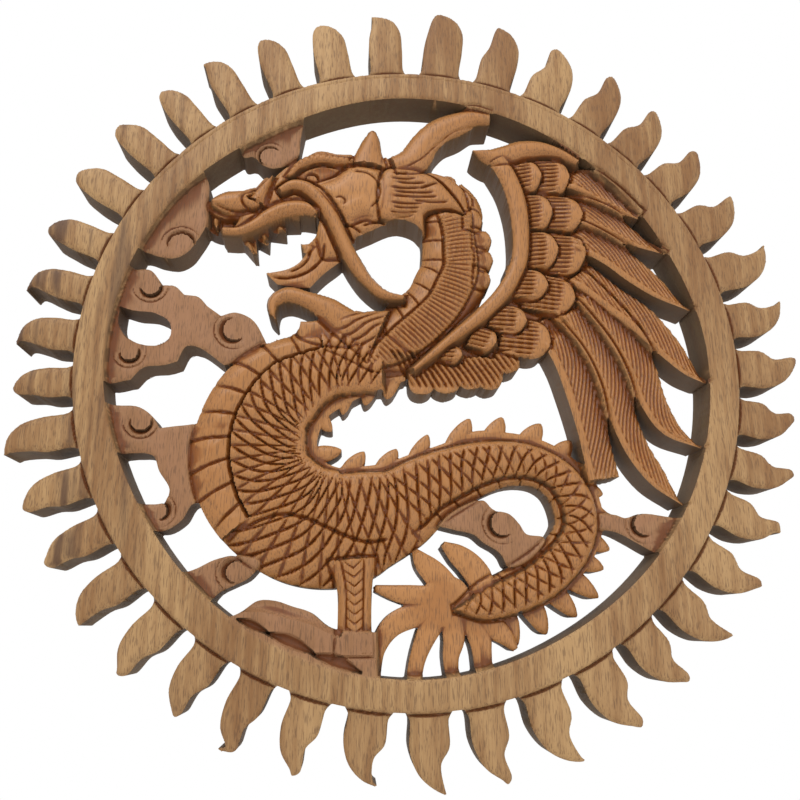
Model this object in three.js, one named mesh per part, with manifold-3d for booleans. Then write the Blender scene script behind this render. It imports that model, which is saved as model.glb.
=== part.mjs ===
// A round pierced wood carving for the wall: a winged dragon and cloud scrolls inside a ring
// that throws off forty flame rays. It is cut from one plank.
// Millimetres, +Z up. The back lies flat at y = 0 and the carved front faces -Y.
// The origin is on the back of the ring at its top centre, where the panel meets the wall.

import * as THREE from 'three';
import { mergeVertices } from 'three/addons/utils/BufferGeometryUtils.js';
import Module from 'manifold-3d';

const wasm = await Module();
wasm.setup();

// Plank and ring
const PANEL_THICKNESS = 22.4;
const RING_INNER_RADIUS = 150;
const RING_BAND_WIDTH = 15.5;
const RING_SEGMENTS = 54;
const RAY_STEP = 1.8;

// Rays
const RAY_LENGTH = 43;
const RAY_ROOT_OVERLAP = 4;

// Relief levels, as shares of the plank's thickness above the back
const CLOUD_LEVEL = 0.78;
const CLOUD_DISC_LEVEL = 0.86;
const ROCK_LEVEL = 0.97;
const FIN_LEVEL = 0.66;
const FAN_LEVEL = 0.74;
const LEG_LEVEL = 0.94;
const BODY_EDGE_LEVEL = 0.68;
const BODY_CROWN_LEVEL = 0.98;
const BODY_SHOULDER_LEVEL = 0.92;
const BELLY_SEAM_LEVEL = 0.79;
const BELLY_LEVEL = 0.84;
const WING_BASE_LEVEL = 0.6;
const FEATHER_EDGE_LEVEL = 0.7;
const FEATHER_RIB_LEVEL = 0.92;
const OUTER_COVERT_LEVEL = 0.9;
const INNER_COVERT_LEVEL = 0.94;
const FRINGE_LEVEL = 0.76;
const WING_ARM_LEVEL = 0.98;
const SNOUT_BED_LEVEL = 0.55;
const TEETH_LEVEL = 0.62;
const SCALLOP_LEVEL = 0.72;
const LOWER_JAW_LEVEL = 0.76;
const SKULL_LEVEL = 0.8;
const EYE_LEVEL = 0.88;
const LOCK_LEVEL = 0.93;
const HORN_LEVEL = 0.95;
const HEAD_HIGH_LEVEL = 0.98;

// How far the edge of a rounded form lies below its crown, in the same shares
const GENTLE_FALL = 0.08;
const STEEP_FALL = 0.15;

// How closely the flat facets follow the drawn curves
const OUTLINE_TOLERANCE = 0.65;
const STROKE_STEP = 13;
const SHORT_STROKE_STEP = 8;
const FEATHER_STEP = 17;

// The figure inside the ring is drawn in 150ths of the ring's inner radius, so it always
// fills the ring. All its points below are [x, z] or [x, z, width] from the ring's centre.
const unit = RING_INNER_RADIUS / 150;
const ringOuterRadius = RING_INNER_RADIUS + RING_BAND_WIDTH;
const ringMiddleRadius = RING_INNER_RADIUS + RING_BAND_WIDTH / 2;

const wood = new THREE.MeshStandardMaterial({ color: 0x9c6a3c, roughness: 0.5, metalness: 0 });

// Turns a closed geometry into a solid that can be joined and cut
function toSolid(geometry) {
  const bare = geometry.clone();
  bare.deleteAttribute('normal');
  bare.deleteAttribute('uv');
  const merged = mergeVertices(bare, 1e-4);
  return new wasm.Manifold(new wasm.Mesh({
    numProp: 3,
    vertProperties: new Float32Array(merged.attributes.position.array),
    triVerts: new Uint32Array(merged.index.array),
  }));
}

function toGeometry(solid) {
  const { vertProperties, triVerts } = solid.getMesh();
  const geometry = new THREE.BufferGeometry();
  geometry.setAttribute('position', new THREE.BufferAttribute(new Float32Array(vertProperties), 3));
  geometry.setIndex(new THREE.BufferAttribute(new Uint32Array(triVerts), 1));
  geometry.computeVertexNormals();
  return geometry;
}

// Drops the points of an open line that lie within the tolerance of it
function thinned(points, tolerance) {
  const first = points[0];
  const last = points[points.length - 1];
  const chord = new THREE.Line3(
    new THREE.Vector3(first.x, first.y, 0),
    new THREE.Vector3(last.x, last.y, 0),
  );
  let farthest = 0;
  let split = 0;
  for (let i = 1; i < points.length - 1; i += 1) {
    const point = new THREE.Vector3(points[i].x, points[i].y, 0);
    const distance = chord.closestPointToPoint(point, true, new THREE.Vector3()).distanceTo(point);
    if (distance > farthest) {
      farthest = distance;
      split = i;
    }
  }
  if (farthest <= tolerance) return [first, last];
  const before = thinned(points.slice(0, split + 1), tolerance);
  const after = thinned(points.slice(split), tolerance);
  return [...before.slice(0, -1), ...after];
}

// A closed outline drawn smoothly through its points; a point with a 1 after it is a sharp corner
function smoothOutline(points) {
  const corners = points.flatMap((point, i) => (point[2] ? [i] : []));
  if (corners.length === 0) corners.push(0);
  const outline = [];
  corners.forEach((start, k) => {
    const count = corners.length === 1
      ? points.length
      : (corners[(k + 1) % corners.length] - start + points.length) % points.length;
    const stretch = [];
    for (let i = 0; i <= count; i += 1) {
      const [x, z] = points[(start + i) % points.length];
      stretch.push(new THREE.Vector3(x * unit, z * unit, 0));
    }
    const curve = new THREE.CatmullRomCurve3(stretch, false, 'centripetal');
    const sampled = count === 1 ? stretch : curve.getPoints(count * 6);
    outline.push(...thinned(sampled, OUTLINE_TOLERANCE).slice(0, -1));
  });
  return outline.map((point) => new THREE.Vector2(point.x, point.y));
}

// A flat-faced part of the relief: an outline cut straight back, to the wall or to another level
function slab(outline, level, backLevel = 0) {
  const geometry = new THREE.ExtrudeGeometry(new THREE.Shape(outline), {
    depth: PANEL_THICKNESS * (level - backLevel), bevelEnabled: false, steps: 1,
  });
  geometry.rotateX(Math.PI / 2);
  geometry.translate(0, -PANEL_THICKNESS * backLevel, 0);
  return toSolid(geometry);
}

function plate(points, level) {
  return slab(smoothOutline(points), level);
}

function disc([x, z, radius], level, sides = 9) {
  const depth = PANEL_THICKNESS * level;
  const geometry = new THREE.CylinderGeometry(radius * unit, radius * unit, depth, sides);
  geometry.translate(x * unit, -depth / 2, z * unit);
  return toSolid(geometry);
}

// Positions along a stroke, with the width at each, spaced by length
function strokeStations(points, step) {
  const curve = new THREE.CatmullRomCurve3(
    points.map(([x, z, width]) => new THREE.Vector3(x * unit, z * unit, width * unit)),
    false,
    'centripetal',
  );
  const count = Math.max(2, Math.round(curve.getLength() / (step * unit)));
  return curve.getSpacedPoints(count);
}

// A rounded form along a centreline: its cross-section is a list of [share of the half width,
// level], from the left edge to the right edge, closed by the flat back
function stroke(points, section, step = STROKE_STEP) {
  const stations = strokeStations(points, step);
  const ring = section.length + 2;
  const vertices = [];
  stations.forEach((station, i) => {
    const before = stations[Math.max(i - 1, 0)];
    const after = stations[Math.min(i + 1, stations.length - 1)];
    const along = new THREE.Vector2(after.x - before.x, after.y - before.y).normalize();
    const halfWidth = station.z / 2;
    const place = (share, level) => vertices.push(
      station.x - along.y * share * halfWidth,
      -PANEL_THICKNESS * level,
      station.y + along.x * share * halfWidth,
    );
    place(1, 0);
    section.forEach(([share, level]) => place(-share, level));
    place(-1, 0);
  });
  const index = [];
  for (let i = 0; i < stations.length - 1; i += 1) {
    for (let j = 0; j < ring; j += 1) {
      const a = i * ring + j;
      const b = i * ring + ((j + 1) % ring);
      index.push(a, b, a + ring, b, b + ring, a + ring);
    }
  }
  const face = [[-1, 0], ...section, [1, 0]].map(([share, level]) => new THREE.Vector2(share, level));
  const end = (stations.length - 1) * ring;
  THREE.ShapeUtils.triangulateShape(face, []).forEach((triangle) => {
    const turned = THREE.ShapeUtils.isClockWise(triangle.map((corner) => face[corner]));
    const [a, b, c] = turned ? triangle : [...triangle].reverse();
    index.push(a, c, b, end + a, end + b, end + c);
  });
  const geometry = new THREE.BufferGeometry();
  geometry.setAttribute('position', new THREE.Float32BufferAttribute(vertices, 3));
  geometry.setIndex(index);
  return toSolid(geometry);
}

// A rounded cross-section that falls from its crown to both edges
function domed(crown, fall) {
  return [[-1, crown - fall], [-0.4, crown], [0.4, crown], [1, crown - fall]];
}

// A feather: tucked low under its upper neighbour, and rising to a rib along its lower edge
function ribbed(edge, rib) {
  return [[-1, edge], [0.6, rib], [1, rib * 0.94]];
}

function joined(solids) {
  return wasm.Manifold.union(solids);
}

// A value that changes smoothly round the compass, given at evenly spaced bearings from +X
function aroundCompass(values, degrees) {
  const place = (((degrees % 360) + 360) % 360) / (360 / values.length);
  const from = Math.floor(place);
  const blend = (1 - Math.cos((place - from) * Math.PI)) / 2;
  return values[from % values.length] * (1 - blend) + values[(from + 1) % values.length] * blend;
}

function polar(degrees, radius) {
  const angle = THREE.MathUtils.degToRad(degrees);
  return new THREE.Vector2(Math.cos(angle) * radius, Math.sin(angle) * radius);
}

// The ring was cut by hand: its inner edge wanders a little from the circle
const INNER_EDGE_WANDER = [0.5, -1.9, -0.8, 0, -2.8, 0.6, 1.2, -1.6, 0, 1.5, -0.2, 0.8];

function innerEdge(degrees) {
  return RING_INNER_RADIUS + aroundCompass(INNER_EDGE_WANDER, degrees) * unit;
}

function ringBand() {
  const bearings = Array.from({ length: RING_SEGMENTS }, (_, i) => (i * 360) / RING_SEGMENTS);
  const shape = new THREE.Shape(bearings.map((bearing) => polar(bearing, ringOuterRadius)));
  shape.holes.push(new THREE.Path(bearings.map((bearing) => polar(bearing, innerEdge(bearing)))));
  const geometry = new THREE.ExtrudeGeometry(shape, {
    depth: PANEL_THICKNESS, bevelEnabled: false, steps: 1,
  });
  geometry.rotateX(Math.PI / 2);
  return toSolid(geometry);
}

// The notches between the rays were spaced by eye: their bearings in degrees from +X
const NOTCH_BEARINGS = [3.5, 12.2, 21.7, 31.5, 41, 50.2, 59, 69.3, 79, 89.8,
  99.3, 109.5, 119, 128, 136.8, 146.2, 156, 164.7, 172.8, 181.3,
  189, 198, 206.8, 215, 223.7, 232.5, 241, 249.2, 257.8, 267.2,
  276.2, 284.5, 293.7, 303, 311.7, 320, 329, 337.7, 345.8, 354.5];
// How far each ray's tip leans on from its middle, in degrees, and its length as a share of the
// longest ray's; the first ray is the one before the first notch
const TIP_LEANS = [2, 2.6, 2.8, 2.4, 1.8, 1.9, 1.7, 1.9, 1.9, 1.6,
  2, 0.6, 0.8, 1.5, 0.6, 0.2, 0.4, 0.7, 2.8, 2.5,
  0.9, 2, 1.1, 0.6, 1.7, 0.9, 1.3, -0.6, 1, 3,
  2.1, 1.2, 2.4, 1.5, 1.5, 2, 1.5, 0.7, 1.3, 1.4];
const RAY_SHARES = [0.77, 0.74, 0.83, 0.8, 0.83, 0.86, 0.93, 0.93, 0.96, 1,
  0.93, 0.89, 0.89, 0.89, 0.86, 0.86, 0.83, 0.76, 0.71, 0.68,
  0.67, 0.8, 0.74, 0.74, 0.76, 0.79, 0.75, 0.8, 0.77, 0.73,
  0.8, 0.8, 0.83, 0.82, 0.77, 0.8, 0.79, 0.75, 0.75, 0.7];
// From 0, a blunt rounded tongue, to 1, a hooked flame with an S-shaped side
const FLAME_HOOK = [1, 1, 0.9, 0.1, 0, 0.1, 0.4, 0.5, 0.8, 1, 1, 1];

// One side of a ray, as [share of its length, share of the pitch] for tongue and for flame
const RISING_SIDE = [[0.1, 0.21, 0.21], [0.45, 0.21, 0.2], [0.75, 0.23, 0.34],
  [0.93, 0.36, 0.57]];
const FALLING_SIDE = [[0.93, 0.72, 0.73], [0.64, 0.83, 0.7], [0.44, 0.85, 0.85],
  [0.1, 0.88, 0.88]];
// How far each side lies on from there, as a share of the pitch, at every 30 degrees
const RISING_SHIFT = [0.02, 0.01, 0, 0, -0.03, -0.07, -0.07, -0.07, -0.04, 0.02, 0.1, 0.06];
const FALLING_SHIFT = [0.07, 0.06, 0.05, -0.03, -0.13, -0.15, -0.09, -0.12, -0.08, 0, 0.11, 0.07];

function flameRay(k) {
  const start = k === 0 ? NOTCH_BEARINGS[NOTCH_BEARINGS.length - 1] - 360 : NOTCH_BEARINGS[k - 1];
  const pitch = NOTCH_BEARINGS[k] - start;
  const middle = start + pitch / 2;
  const hook = aroundCompass(FLAME_HOOK, middle);
  const length = RAY_LENGTH * RAY_SHARES[k];
  const rising = aroundCompass(RISING_SHIFT, middle);
  const falling = aroundCompass(FALLING_SHIFT, middle);
  const tip = middle + TIP_LEANS[k] + (pitch * (rising + falling)) / 2;
  const side = (rows, shift) => rows.map(([rise, tongue, flame]) => {
    const share = tongue * (1 - hook) + flame * hook + shift;
    return polar(start + pitch * share, ringOuterRadius + rise * length);
  });
  const root = ringOuterRadius - RAY_ROOT_OVERLAP;
  const outline = [polar(start + pitch * 0.05, root),
    ...side(RISING_SIDE, rising),
    polar(tip, ringOuterRadius + length),
    ...side(FALLING_SIDE, falling),
    polar(start + pitch * 0.95, root)];
  return slab(outline, (PANEL_THICKNESS - RAY_STEP) / PANEL_THICKNESS);
}

function rays() {
  return joined(NOTCH_BEARINGS.map((_, k) => flameRay(k)));
}

// Clouds: flat scrolls that grow out of the ring, each with a raised disc at its curl
const CLOUDS = [
  [[-94, 126], [-90, 113], [-85, 113.5], [-80, 109], [-74, 107], [-62, 113], [-60.5, 124],
    [-60, 142]],
  [[-114, 106], [-108, 98], [-107, 86], [-107, 74], [-112, 63], [-116, 57], [-122, 53.5],
    [-130, 54], [-138, 56.5], [-146, 56]],
  [[-152, 46.5], [-141, 46.5], [-134, 46.5], [-127, 38.5, 1], [-121, 38], [-116, 33.5, 1],
    [-109, 32.5], [-104, 27.5, 1], [-97, 22.5, 1], [-90, 24.5], [-81.5, 21], [-76, 13], [-73, 3],
    [-94, -3.5, 1], [-107, 5.5], [-113, 6], [-117, -2, 1], [-123, -4], [-133, -5.5],
    [-139, -12, 1], [-152, -13]],
  [[-152, -26], [-142, -25], [-134, -25.5], [-127, -30], [-123, -36, 1], [-112, -34.5],
    [-95, -34], [-95, -71], [-104.5, -72.5], [-109.5, -80.5], [-118, -85.5], [-128, -83],
    [-130, -74], [-118.5, -72], [-116, -66], [-121.5, -57], [-124.5, -50], [-128.5, -48.5],
    [-134, -48.5], [-152, -48]],
  [[-108, -105], [-101, -102.5], [-93, -98.5], [-84, -96.5], [-72, -99], [-76.5, -106.5],
    [-83, -110], [-90, -113.5], [-96, -119]],
  [[86, -75.5], [98, -76], [103, -77.5], [110, -75.5], [119, -76], [137, -81.5], [127, -97],
    [117, -94.5], [107, -89], [98, -84.5], [86, -81.5]],
  [[12, -82], [18, -76], [27, -71], [33.5, -69.5], [38.5, -74], [46, -76], [51, -81], [54, -85.5],
    [63, -87.5], [55, -98], [45, -101], [42, -96], [39.5, -93.5], [33.5, -90], [28.5, -86],
    [20, -84]],
];
const CLOUD_DISCS = [[-76, 115, 5.5], [-119, 61, 6.5], [-133.5, 38.5, 5], [-140.5, 4, 4.5],
  [-88.5, 16, 7], [-131.5, -33.5, 5], [-119, -77, 4.5], [-82, -104, 5], [113, -81, 5.5],
  [43.5, -80.5, 6]];
// The closed gap between two scrolls at the left
const CLOUD_GAP = [[-147, 26], [-140, 24], [-130, 23], [-122, 18], [-121.5, 10], [-127, 6],
  [-136, 6.5], [-143, 10.5], [-147, 17]];
const ROCK = [[-92, -128], [-80, -122.5], [-72, -117], [-64, -117], [-56, -119.5], [-48, -122],
  [-38, -129], [-18, -131, 1], [-17, -154, 1], [-50, -148], [-75, -134]];

function clouds() {
  const scrolls = joined(CLOUDS.map((outline) => plate(outline, CLOUD_LEVEL)));
  const gap = slab(smoothOutline(CLOUD_GAP), CLOUD_LEVEL + 0.1, -0.1);
  const discs = CLOUD_DISCS.map((spot) => disc(spot, CLOUD_DISC_LEVEL));
  return joined([scrolls.subtract(gap), plate(ROCK, ROCK_LEVEL), ...discs]);
}

// The dragon's neck and body are one long taper from the mane to the tip of the tail
const NECK = [[14, 98, 30], [19, 86, 38], [21.5, 72.5, 33], [22.5, 60, 35], [22.5, 51, 36],
  [18.5, 41, 37], [13.5, 31.5, 36], [5.5, 22.5, 37], [-5, 13.5, 39], [-17.5, 6, 37]];
const BODY = [[-16, 4, 38], [-39.5, 3, 41], [-51, -2.5, 39], [-64, -11.5, 45], [-75.5, -25, 50],
  [-80, -45.5, 54], [-76.5, -61, 55], [-67.5, -72.5, 56], [-52, -82, 56], [-33.5, -83.5, 54],
  [-20, -79.5, 47], [-6, -74, 39.4], [6.5, -65.2, 33.2], [19.5, -59, 29.5], [30.5, -54.6, 25.8],
  [43.2, -51.8, 22], [54, -51.8, 20], [64, -54.7, 18.6], [72, -60.5, 18.8], [77.5, -70.5, 19.8],
  [78.5, -81.5, 19.6], [73.7, -92, 20.6], [64.5, -101.5, 21.6], [53, -109, 21], [42, -113.6, 19.4],
  [31.5, -117.5, 15.8], [19, -120.5, 2]];
// The belly runs along the outer edge, below the scaled back
const BODY_SECTION = [[-1, BODY_EDGE_LEVEL], [-0.5, BODY_SHOULDER_LEVEL], [0, BODY_CROWN_LEVEL],
  [0.5, BODY_SHOULDER_LEVEL], [0.68, BELLY_SEAM_LEVEL], [0.8, BELLY_LEVEL], [1, BODY_EDGE_LEVEL]];

function bodyMass() {
  const neck = stroke(NECK, domed(BODY_CROWN_LEVEL, BODY_CROWN_LEVEL - BODY_EDGE_LEVEL));
  const body = stroke(BODY, BODY_SECTION);
  return joined([neck, body]);
}

// Fins stand along the spine: [base x, base z, tip x, tip z, width at the base]. A width below
// zero turns the fin's hook the other way.
const FINS = [[-11, -6, -13, -18.7, -15], [-21, -10, -24, -22, -13], [-33, -15, -35, -27, -11],
  [-47, -28, -40, -35.5, 12], [-49, -48, -35, -45, 14], [-32, -57, -24, -45.5, 15],
  [-15.5, -56, -8, -44, 15], [0.5, -52, 7.5, -36.5, 15], [20, -45, 28.5, -28, 18],
  [38, -42, 45, -27, 18], [56, -42, 64.5, -30, 18], [71, -49, 79, -38.5, 17],
  [80, -61, 94, -65.5, 16], [85, -75, 96.5, -77, 17], [84, -87, 95.5, -92.5, 14],
  [80, -97, 92, -101.5, 14], [75, -105, 88.5, -115, 15], [67, -112, 77.5, -124, 15],
  [56, -118, 62.5, -132, 16], [44, -122, 48.5, -137, 14]];

// One fin as [share of its height, share of its half width]: a long flank, then a steep one
const FIN_SHAPE = [[-0.3, 0.95], [0.05, 0.64], [0.4, 0.6], [0.8, 0.34], [1, 0], [0.85, -0.32],
  [0.6, -0.52], [-0.3, -1]];
// The fins rise from one low band along the edge of the body
const FIN_BAND = [
  [-4, -7, 4], [-14, -9.5, 6], [-24, -12.5, 8], [-34, -18.5, 7], [-44, -26, 6], [-50, -35, 8],
  [-51.5, -45, 9], [-47, -53, 8], [-36, -57, 6], [-24, -56.5, 7], [-12, -55, 8], [0, -50.5, 8],
  [12, -46.5, 8], [22, -44.5, 12], [32, -41, 13], [46, -40.5, 11], [60, -42, 9], [73, -47, 7],
  [82, -56, 8], [87, -66, 8], [89, -77, 8], [87, -87, 8], [82, -97, 8], [74, -106, 8],
  [63, -114, 8], [50, -119, 8],
];

function finOutline([baseX, baseZ, tipX, tipZ, width]) {
  const axis = new THREE.Vector2(tipX - baseX, tipZ - baseZ);
  const side = new THREE.Vector2(-axis.y, axis.x).normalize().multiplyScalar(width / 2);
  const spot = (along, across) => new THREE.Vector2(
    (baseX + axis.x * along + side.x * across) * unit,
    (baseZ + axis.y * along + side.y * across) * unit,
  );
  return FIN_SHAPE.map(([along, across]) => spot(along, across));
}

function spineFins() {
  const fins = FINS.map((fin) => slab(finOutline(fin), FIN_LEVEL));
  const band = stroke(FIN_BAND, [[-1, FIN_LEVEL], [1, FIN_LEVEL]]);
  return joined([...fins, band]);
}

// The tail ends over a fan of pointed lobes
const FAN_LOBES = [
  [[14, -90.5, 3], [20.5, -95, 9.5], [27, -100.5, 12], [31.5, -107, 12.5], [32.5, -113, 12]],
  [[0.5, -93.5, 3], [4.5, -99, 9], [10.5, -105, 12], [17, -113, 13]],
  [[-18.5, -111, 3], [-10, -113, 7], [-1, -114.5, 10], [10, -116, 12]],
  [[-18, -150, 5], [-16.5, -138, 7], [-10, -128, 10], [6, -121, 12]],
  [[-0.5, -153, 7], [1.5, -143, 7.5], [4.5, -135, 9], [10, -124, 12]],
  [[17.5, -152, 6], [17, -142, 7.5], [18.5, -134, 10], [18, -120, 12]],
  [[32, -151, 8], [31.5, -140, 9], [30.5, -133, 11], [24, -118, 12]],
  [[47, -138.5, 3], [42.5, -133, 8], [35.5, -127, 12], [28, -118, 12]],
];

const FAN_HEART = [15, -117, 12];

function tailFan() {
  const lobes = FAN_LOBES.map((points) => stroke(points, domed(FAN_LEVEL, GENTLE_FALL)));
  return joined([disc(FAN_HEART, FAN_LEVEL), ...lobes]);
}

const LEG = [[-29, -98, 22], [-27.8, -111, 16.5], [-27.6, -126, 15.5], [-27.5, -141, 17]];

function leg() {
  return stroke(LEG, domed(LEG_LEVEL, STEEP_FALL));
}

// The arm reaches left and its claw hooks down
const ARM = [[-18, 13, 30], [-33, 19, 17], [-44, 27, 13], [-55, 32, 9], [-64, 34, 9],
  [-70.5, 30, 7], [-71, 24, 4.5], [-69, 19, 1]];

const ARM_WEB = [[-57, 12], [-57, 20, 1], [-50, 20.5], [-44, 25], [-30, 20], [-30, 8]];

function arm() {
  const claw = stroke(ARM, domed(BODY_CROWN_LEVEL, STEEP_FALL), SHORT_STROKE_STEP);
  return joined([claw, plate(ARM_WEB, SKULL_LEVEL)]);
}

// Wing
const WING_BASE = [[42, 117], [52, 124], [68, 126], [84, 118], [100, 99], [94, 60], [88, 30],
  [75, 9], [60, 5.5], [48, 2], [20, -6], [0, -8], [-12, -7], [-4, 0], [10, 8], [27, 24],
  [38, 31], [48, 43], [53, 57], [54.5, 75], [51, 98]];
const WING_ARM = [[46, 115, 10], [52, 103, 10], [56, 88, 10], [57, 72, 9], [56, 58, 8.5],
  [51.5, 46, 8], [44.5, 35.5, 7.5], [36, 26.5, 7], [27.5, 19, 6], [18, 11, 5], [9, 3, 4],
  [0, -5, 3]];
const WING_TOP = [[32.5, 119.5, 2], [37, 118.5, 7], [44, 117.5, 11], [52, 119.5, 12],
  [60, 122.5, 12], [70, 123.5, 10], [80, 121, 7], [90, 115, 5]];
const FLIGHT_FEATHERS = [
  [[78, 112, 14], [94, 104, 16], [108, 94, 13], [122, 84, 5]],
  [[80, 90, 17], [93, 86, 16], [105.5, 80.5, 15], [120, 71, 11], [134, 62.5, 1.5]],
  [[78, 76, 17], [92, 70, 17], [106, 62, 17], [118, 52.5, 17], [130, 42.5, 13], [145, 30.5, 1.5]],
  [[80, 56, 17], [92, 48, 17], [105, 37, 17], [119, 26, 18], [132.5, 10.5, 16],
    [141.5, -1, 10], [149, -8.5, 2]],
  [[84, 48, 16], [97, 33, 17], [108, 17, 18], [116.5, 0, 18], [122, -19, 16],
    [128.5, -31, 13], [143.5, -42.5, 1.5]],
  [[74, 38, 14], [86, 22, 15], [96, 6, 16], [102, -10, 16.5], [106, -28, 15.5],
    [112, -44, 14.5], [120.5, -57.5, 12], [131.5, -71, 1.5]],
  [[66, 24, 14], [73, 14, 16], [80, 2, 18], [85.5, -14, 19], [89.5, -34, 17], [92, -48, 17],
    [94, -58.5, 17]],
];
// Coverts overlap like tiles: [inner x, inner z, outer x, outer z, width]
const OUTER_COVERTS = [[72, 108, 84, 106, 22], [77, 86, 88, 82, 19], [77, 63, 88, 58, 20],
  [71, 40, 81, 35, 19], [55, 15, 68, 12, 20]];
const INNER_COVERTS = [[57, 106, 69, 105, 18], [61, 86, 73, 84, 20], [61, 64, 74, 61, 19],
  [57, 45, 68, 41, 17], [46, 26, 56, 22, 15], [33, 15, 38, 9, 14], [18, 5, 21, 2, 12]];
const WING_FRINGE = [[48, 7, 49, -4.5, 12], [40, 3, 37.5, -13.5, 14], [28, 3, 30, -13.5, 15],
  [16, 1, 17, -16, 15], [4, -1, 4.5, -17, 13]];

function lobe([innerX, innerZ, outerX, outerZ, width], level) {
  const spot = (along, share) => [
    innerX + (outerX - innerX) * along, innerZ + (outerZ - innerZ) * along, width * share];
  const shape = [spot(0, 0.8), spot(0.5, 1), spot(0.9, 0.78), spot(1, 0.3)];
  return stroke(shape, domed(level, GENTLE_FALL), SHORT_STROKE_STEP);
}

function lobes(rows, level) {
  return joined(rows.map((row) => lobe(row, level)));
}

function wing() {
  const flight = FLIGHT_FEATHERS.map((feather) => (
    stroke(feather, ribbed(FEATHER_EDGE_LEVEL, FEATHER_RIB_LEVEL), FEATHER_STEP)));
  return joined([
    plate(WING_BASE, WING_BASE_LEVEL),
    ...flight,
    lobes(OUTER_COVERTS, OUTER_COVERT_LEVEL),
    lobes(INNER_COVERTS, INNER_COVERT_LEVEL),
    lobes(WING_FRINGE, FRINGE_LEVEL),
    stroke(WING_ARM, domed(WING_ARM_LEVEL, GENTLE_FALL)),
    stroke(WING_TOP, domed(HORN_LEVEL, STEEP_FALL)),
  ]);
}

// Head
const SKULL = [[-74, 101, 1], [-67, 108], [-59.5, 114, 1], [-50, 118.5], [-40, 117], [-28, 117],
  [-13, 116], [0, 109], [10, 107.5], [19, 105], [27, 98], [30, 85, 1], [24, 83], [15, 85],
  [5, 81.5], [5, 71, 1], [-1, 77], [-10, 77.5], [-22, 72], [-33, 66], [-36, 62], [-37, 56, 1],
  [-46, 56], [-48, 61], [-50, 69], [-49, 78, 1], [-60, 79.5], [-72, 77], [-80, 70.5],
  [-88, 66.5], [-97, 66], [-100, 68.5], [-93, 72, 1], [-91, 77], [-99, 78], [-106, 81.5],
  [-106, 87], [-99, 92.5], [-89, 94], [-83, 95.5, 1], [-77.5, 101.5]];
const SNOUT_BED = [[-109, 86], [-109, 74], [-103, 70], [-95, 70], [-80, 76], [-80, 92], [-98, 91]];
const LOWER_JAW = [[-48, 77], [-50.5, 69.5], [-53, 65], [-58, 63.5, 1], [-56, 58.5], [-58, 54],
  [-64, 49.5], [-75.5, 46.5, 1], [-69.5, 40.5, 1], [-58, 39], [-53, 39, 1], [-46, 47], [-37, 55],
  [-33, 61], [-30, 69], [-38, 77]];
const TEETH = [[-97, 76, 1], [-94, 71, 1], [-87.5, 64.5, 1], [-81, 57, 1], [-82, 67.5, 1],
  [-75.5, 64, 1], [-75.5, 72, 1], [-66.5, 71, 1], [-67, 76.5, 1], [-59.5, 77, 1], [-59, 80, 1],
  [-49, 80, 1], [-48, 85, 1], [-70, 86, 1], [-90, 78, 1]];
const WHISKER = [[-70, 92, 5], [-63, 96, 7], [-56, 94.5, 8], [-50, 89, 8], [-43, 79, 8],
  [-38, 68, 8], [-34, 59, 8], [-29, 50, 8], [-23.5, 42, 7], [-15, 35, 6], [-5, 33, 4]];
const UPPER_LIP = [[-98.5, 67.5, 5], [-90, 68.5, 7], [-80, 74.5, 9], [-71, 81, 11],
  [-60, 84, 11], [-51, 81, 6]];
const LONG_HORN = [[-10, 110, 12], [0.5, 114, 17], [7, 124.5, 15.5], [14.5, 132.5, 15],
  [23.5, 137, 14.5], [32.5, 141, 11], [42.5, 140.5, 7]];
const SMALL_HORN = [[-24, 110, 19], [-23, 119, 13], [-22, 125.5, 9], [-21.7, 129.5, 4.5]];
const NOSE_HORN = [[-82, 86, 10], [-78, 94, 6], [-74, 100.5, 1.5]];
const MANE_LOCKS = [
  [[-8, 104, 9], [4, 102, 8], [12, 101, 5], [19, 101, 1.5]],
  [[-10, 97, 9], [3, 95, 10], [14, 93, 8], [26, 90, 1.5]],
  [[-10, 89, 8], [3, 88, 9], [16, 87.5, 7], [28, 83, 1.5]],
  [[-10, 82, 8], [0, 81, 7], [5, 77, 4], [5.5, 71, 1.5]],
];
const NECK_SCALLOPS = [[12, 101, 24.5, 101.5, 13], [21, 92, 32, 92, 13], [27, 80, 37.5, 80, 13],
  [32, 69, 42, 69, 13], [33, 58, 42.5, 57.5, 12], [32, 47, 41, 46.5, 11]];

const CHEEK = [-29, 93.5, 16.5];
const EYE = [-53, 102, 4.5];
const BROW = [[-66, 97, 3], [-60, 104.5, 4], [-51, 109.5, 5], [-40, 108.5, 4], [-33, 108, 3]];
const NOSE = [[-104.5, 84, 5], [-98, 85, 12], [-90, 86, 13], [-80, 87, 10]];

function face() {
  return joined([
    plate(SKULL, SKULL_LEVEL),
    plate(SNOUT_BED, SNOUT_BED_LEVEL),
    plate(TEETH, TEETH_LEVEL),
    plate(LOWER_JAW, LOWER_JAW_LEVEL),
    disc(CHEEK, HEAD_HIGH_LEVEL, 14),
    disc(EYE, EYE_LEVEL),
    stroke(BROW, domed(LOCK_LEVEL, GENTLE_FALL), SHORT_STROKE_STEP),
    stroke(NOSE, domed(HEAD_HIGH_LEVEL, STEEP_FALL), SHORT_STROKE_STEP),
    stroke(UPPER_LIP, domed(HEAD_HIGH_LEVEL, STEEP_FALL), SHORT_STROKE_STEP),
    stroke(WHISKER, domed(1, STEEP_FALL)),
  ]);
}

function head() {
  const horns = [LONG_HORN, SMALL_HORN, NOSE_HORN].map((horn) => (
    stroke(horn, domed(HORN_LEVEL, STEEP_FALL))));
  const locks = MANE_LOCKS.map((lock) => stroke(lock, domed(LOCK_LEVEL, GENTLE_FALL)));
  return joined([face(), ...horns, ...locks, lobes(NECK_SCALLOPS, SCALLOP_LEVEL)]);
}

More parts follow.
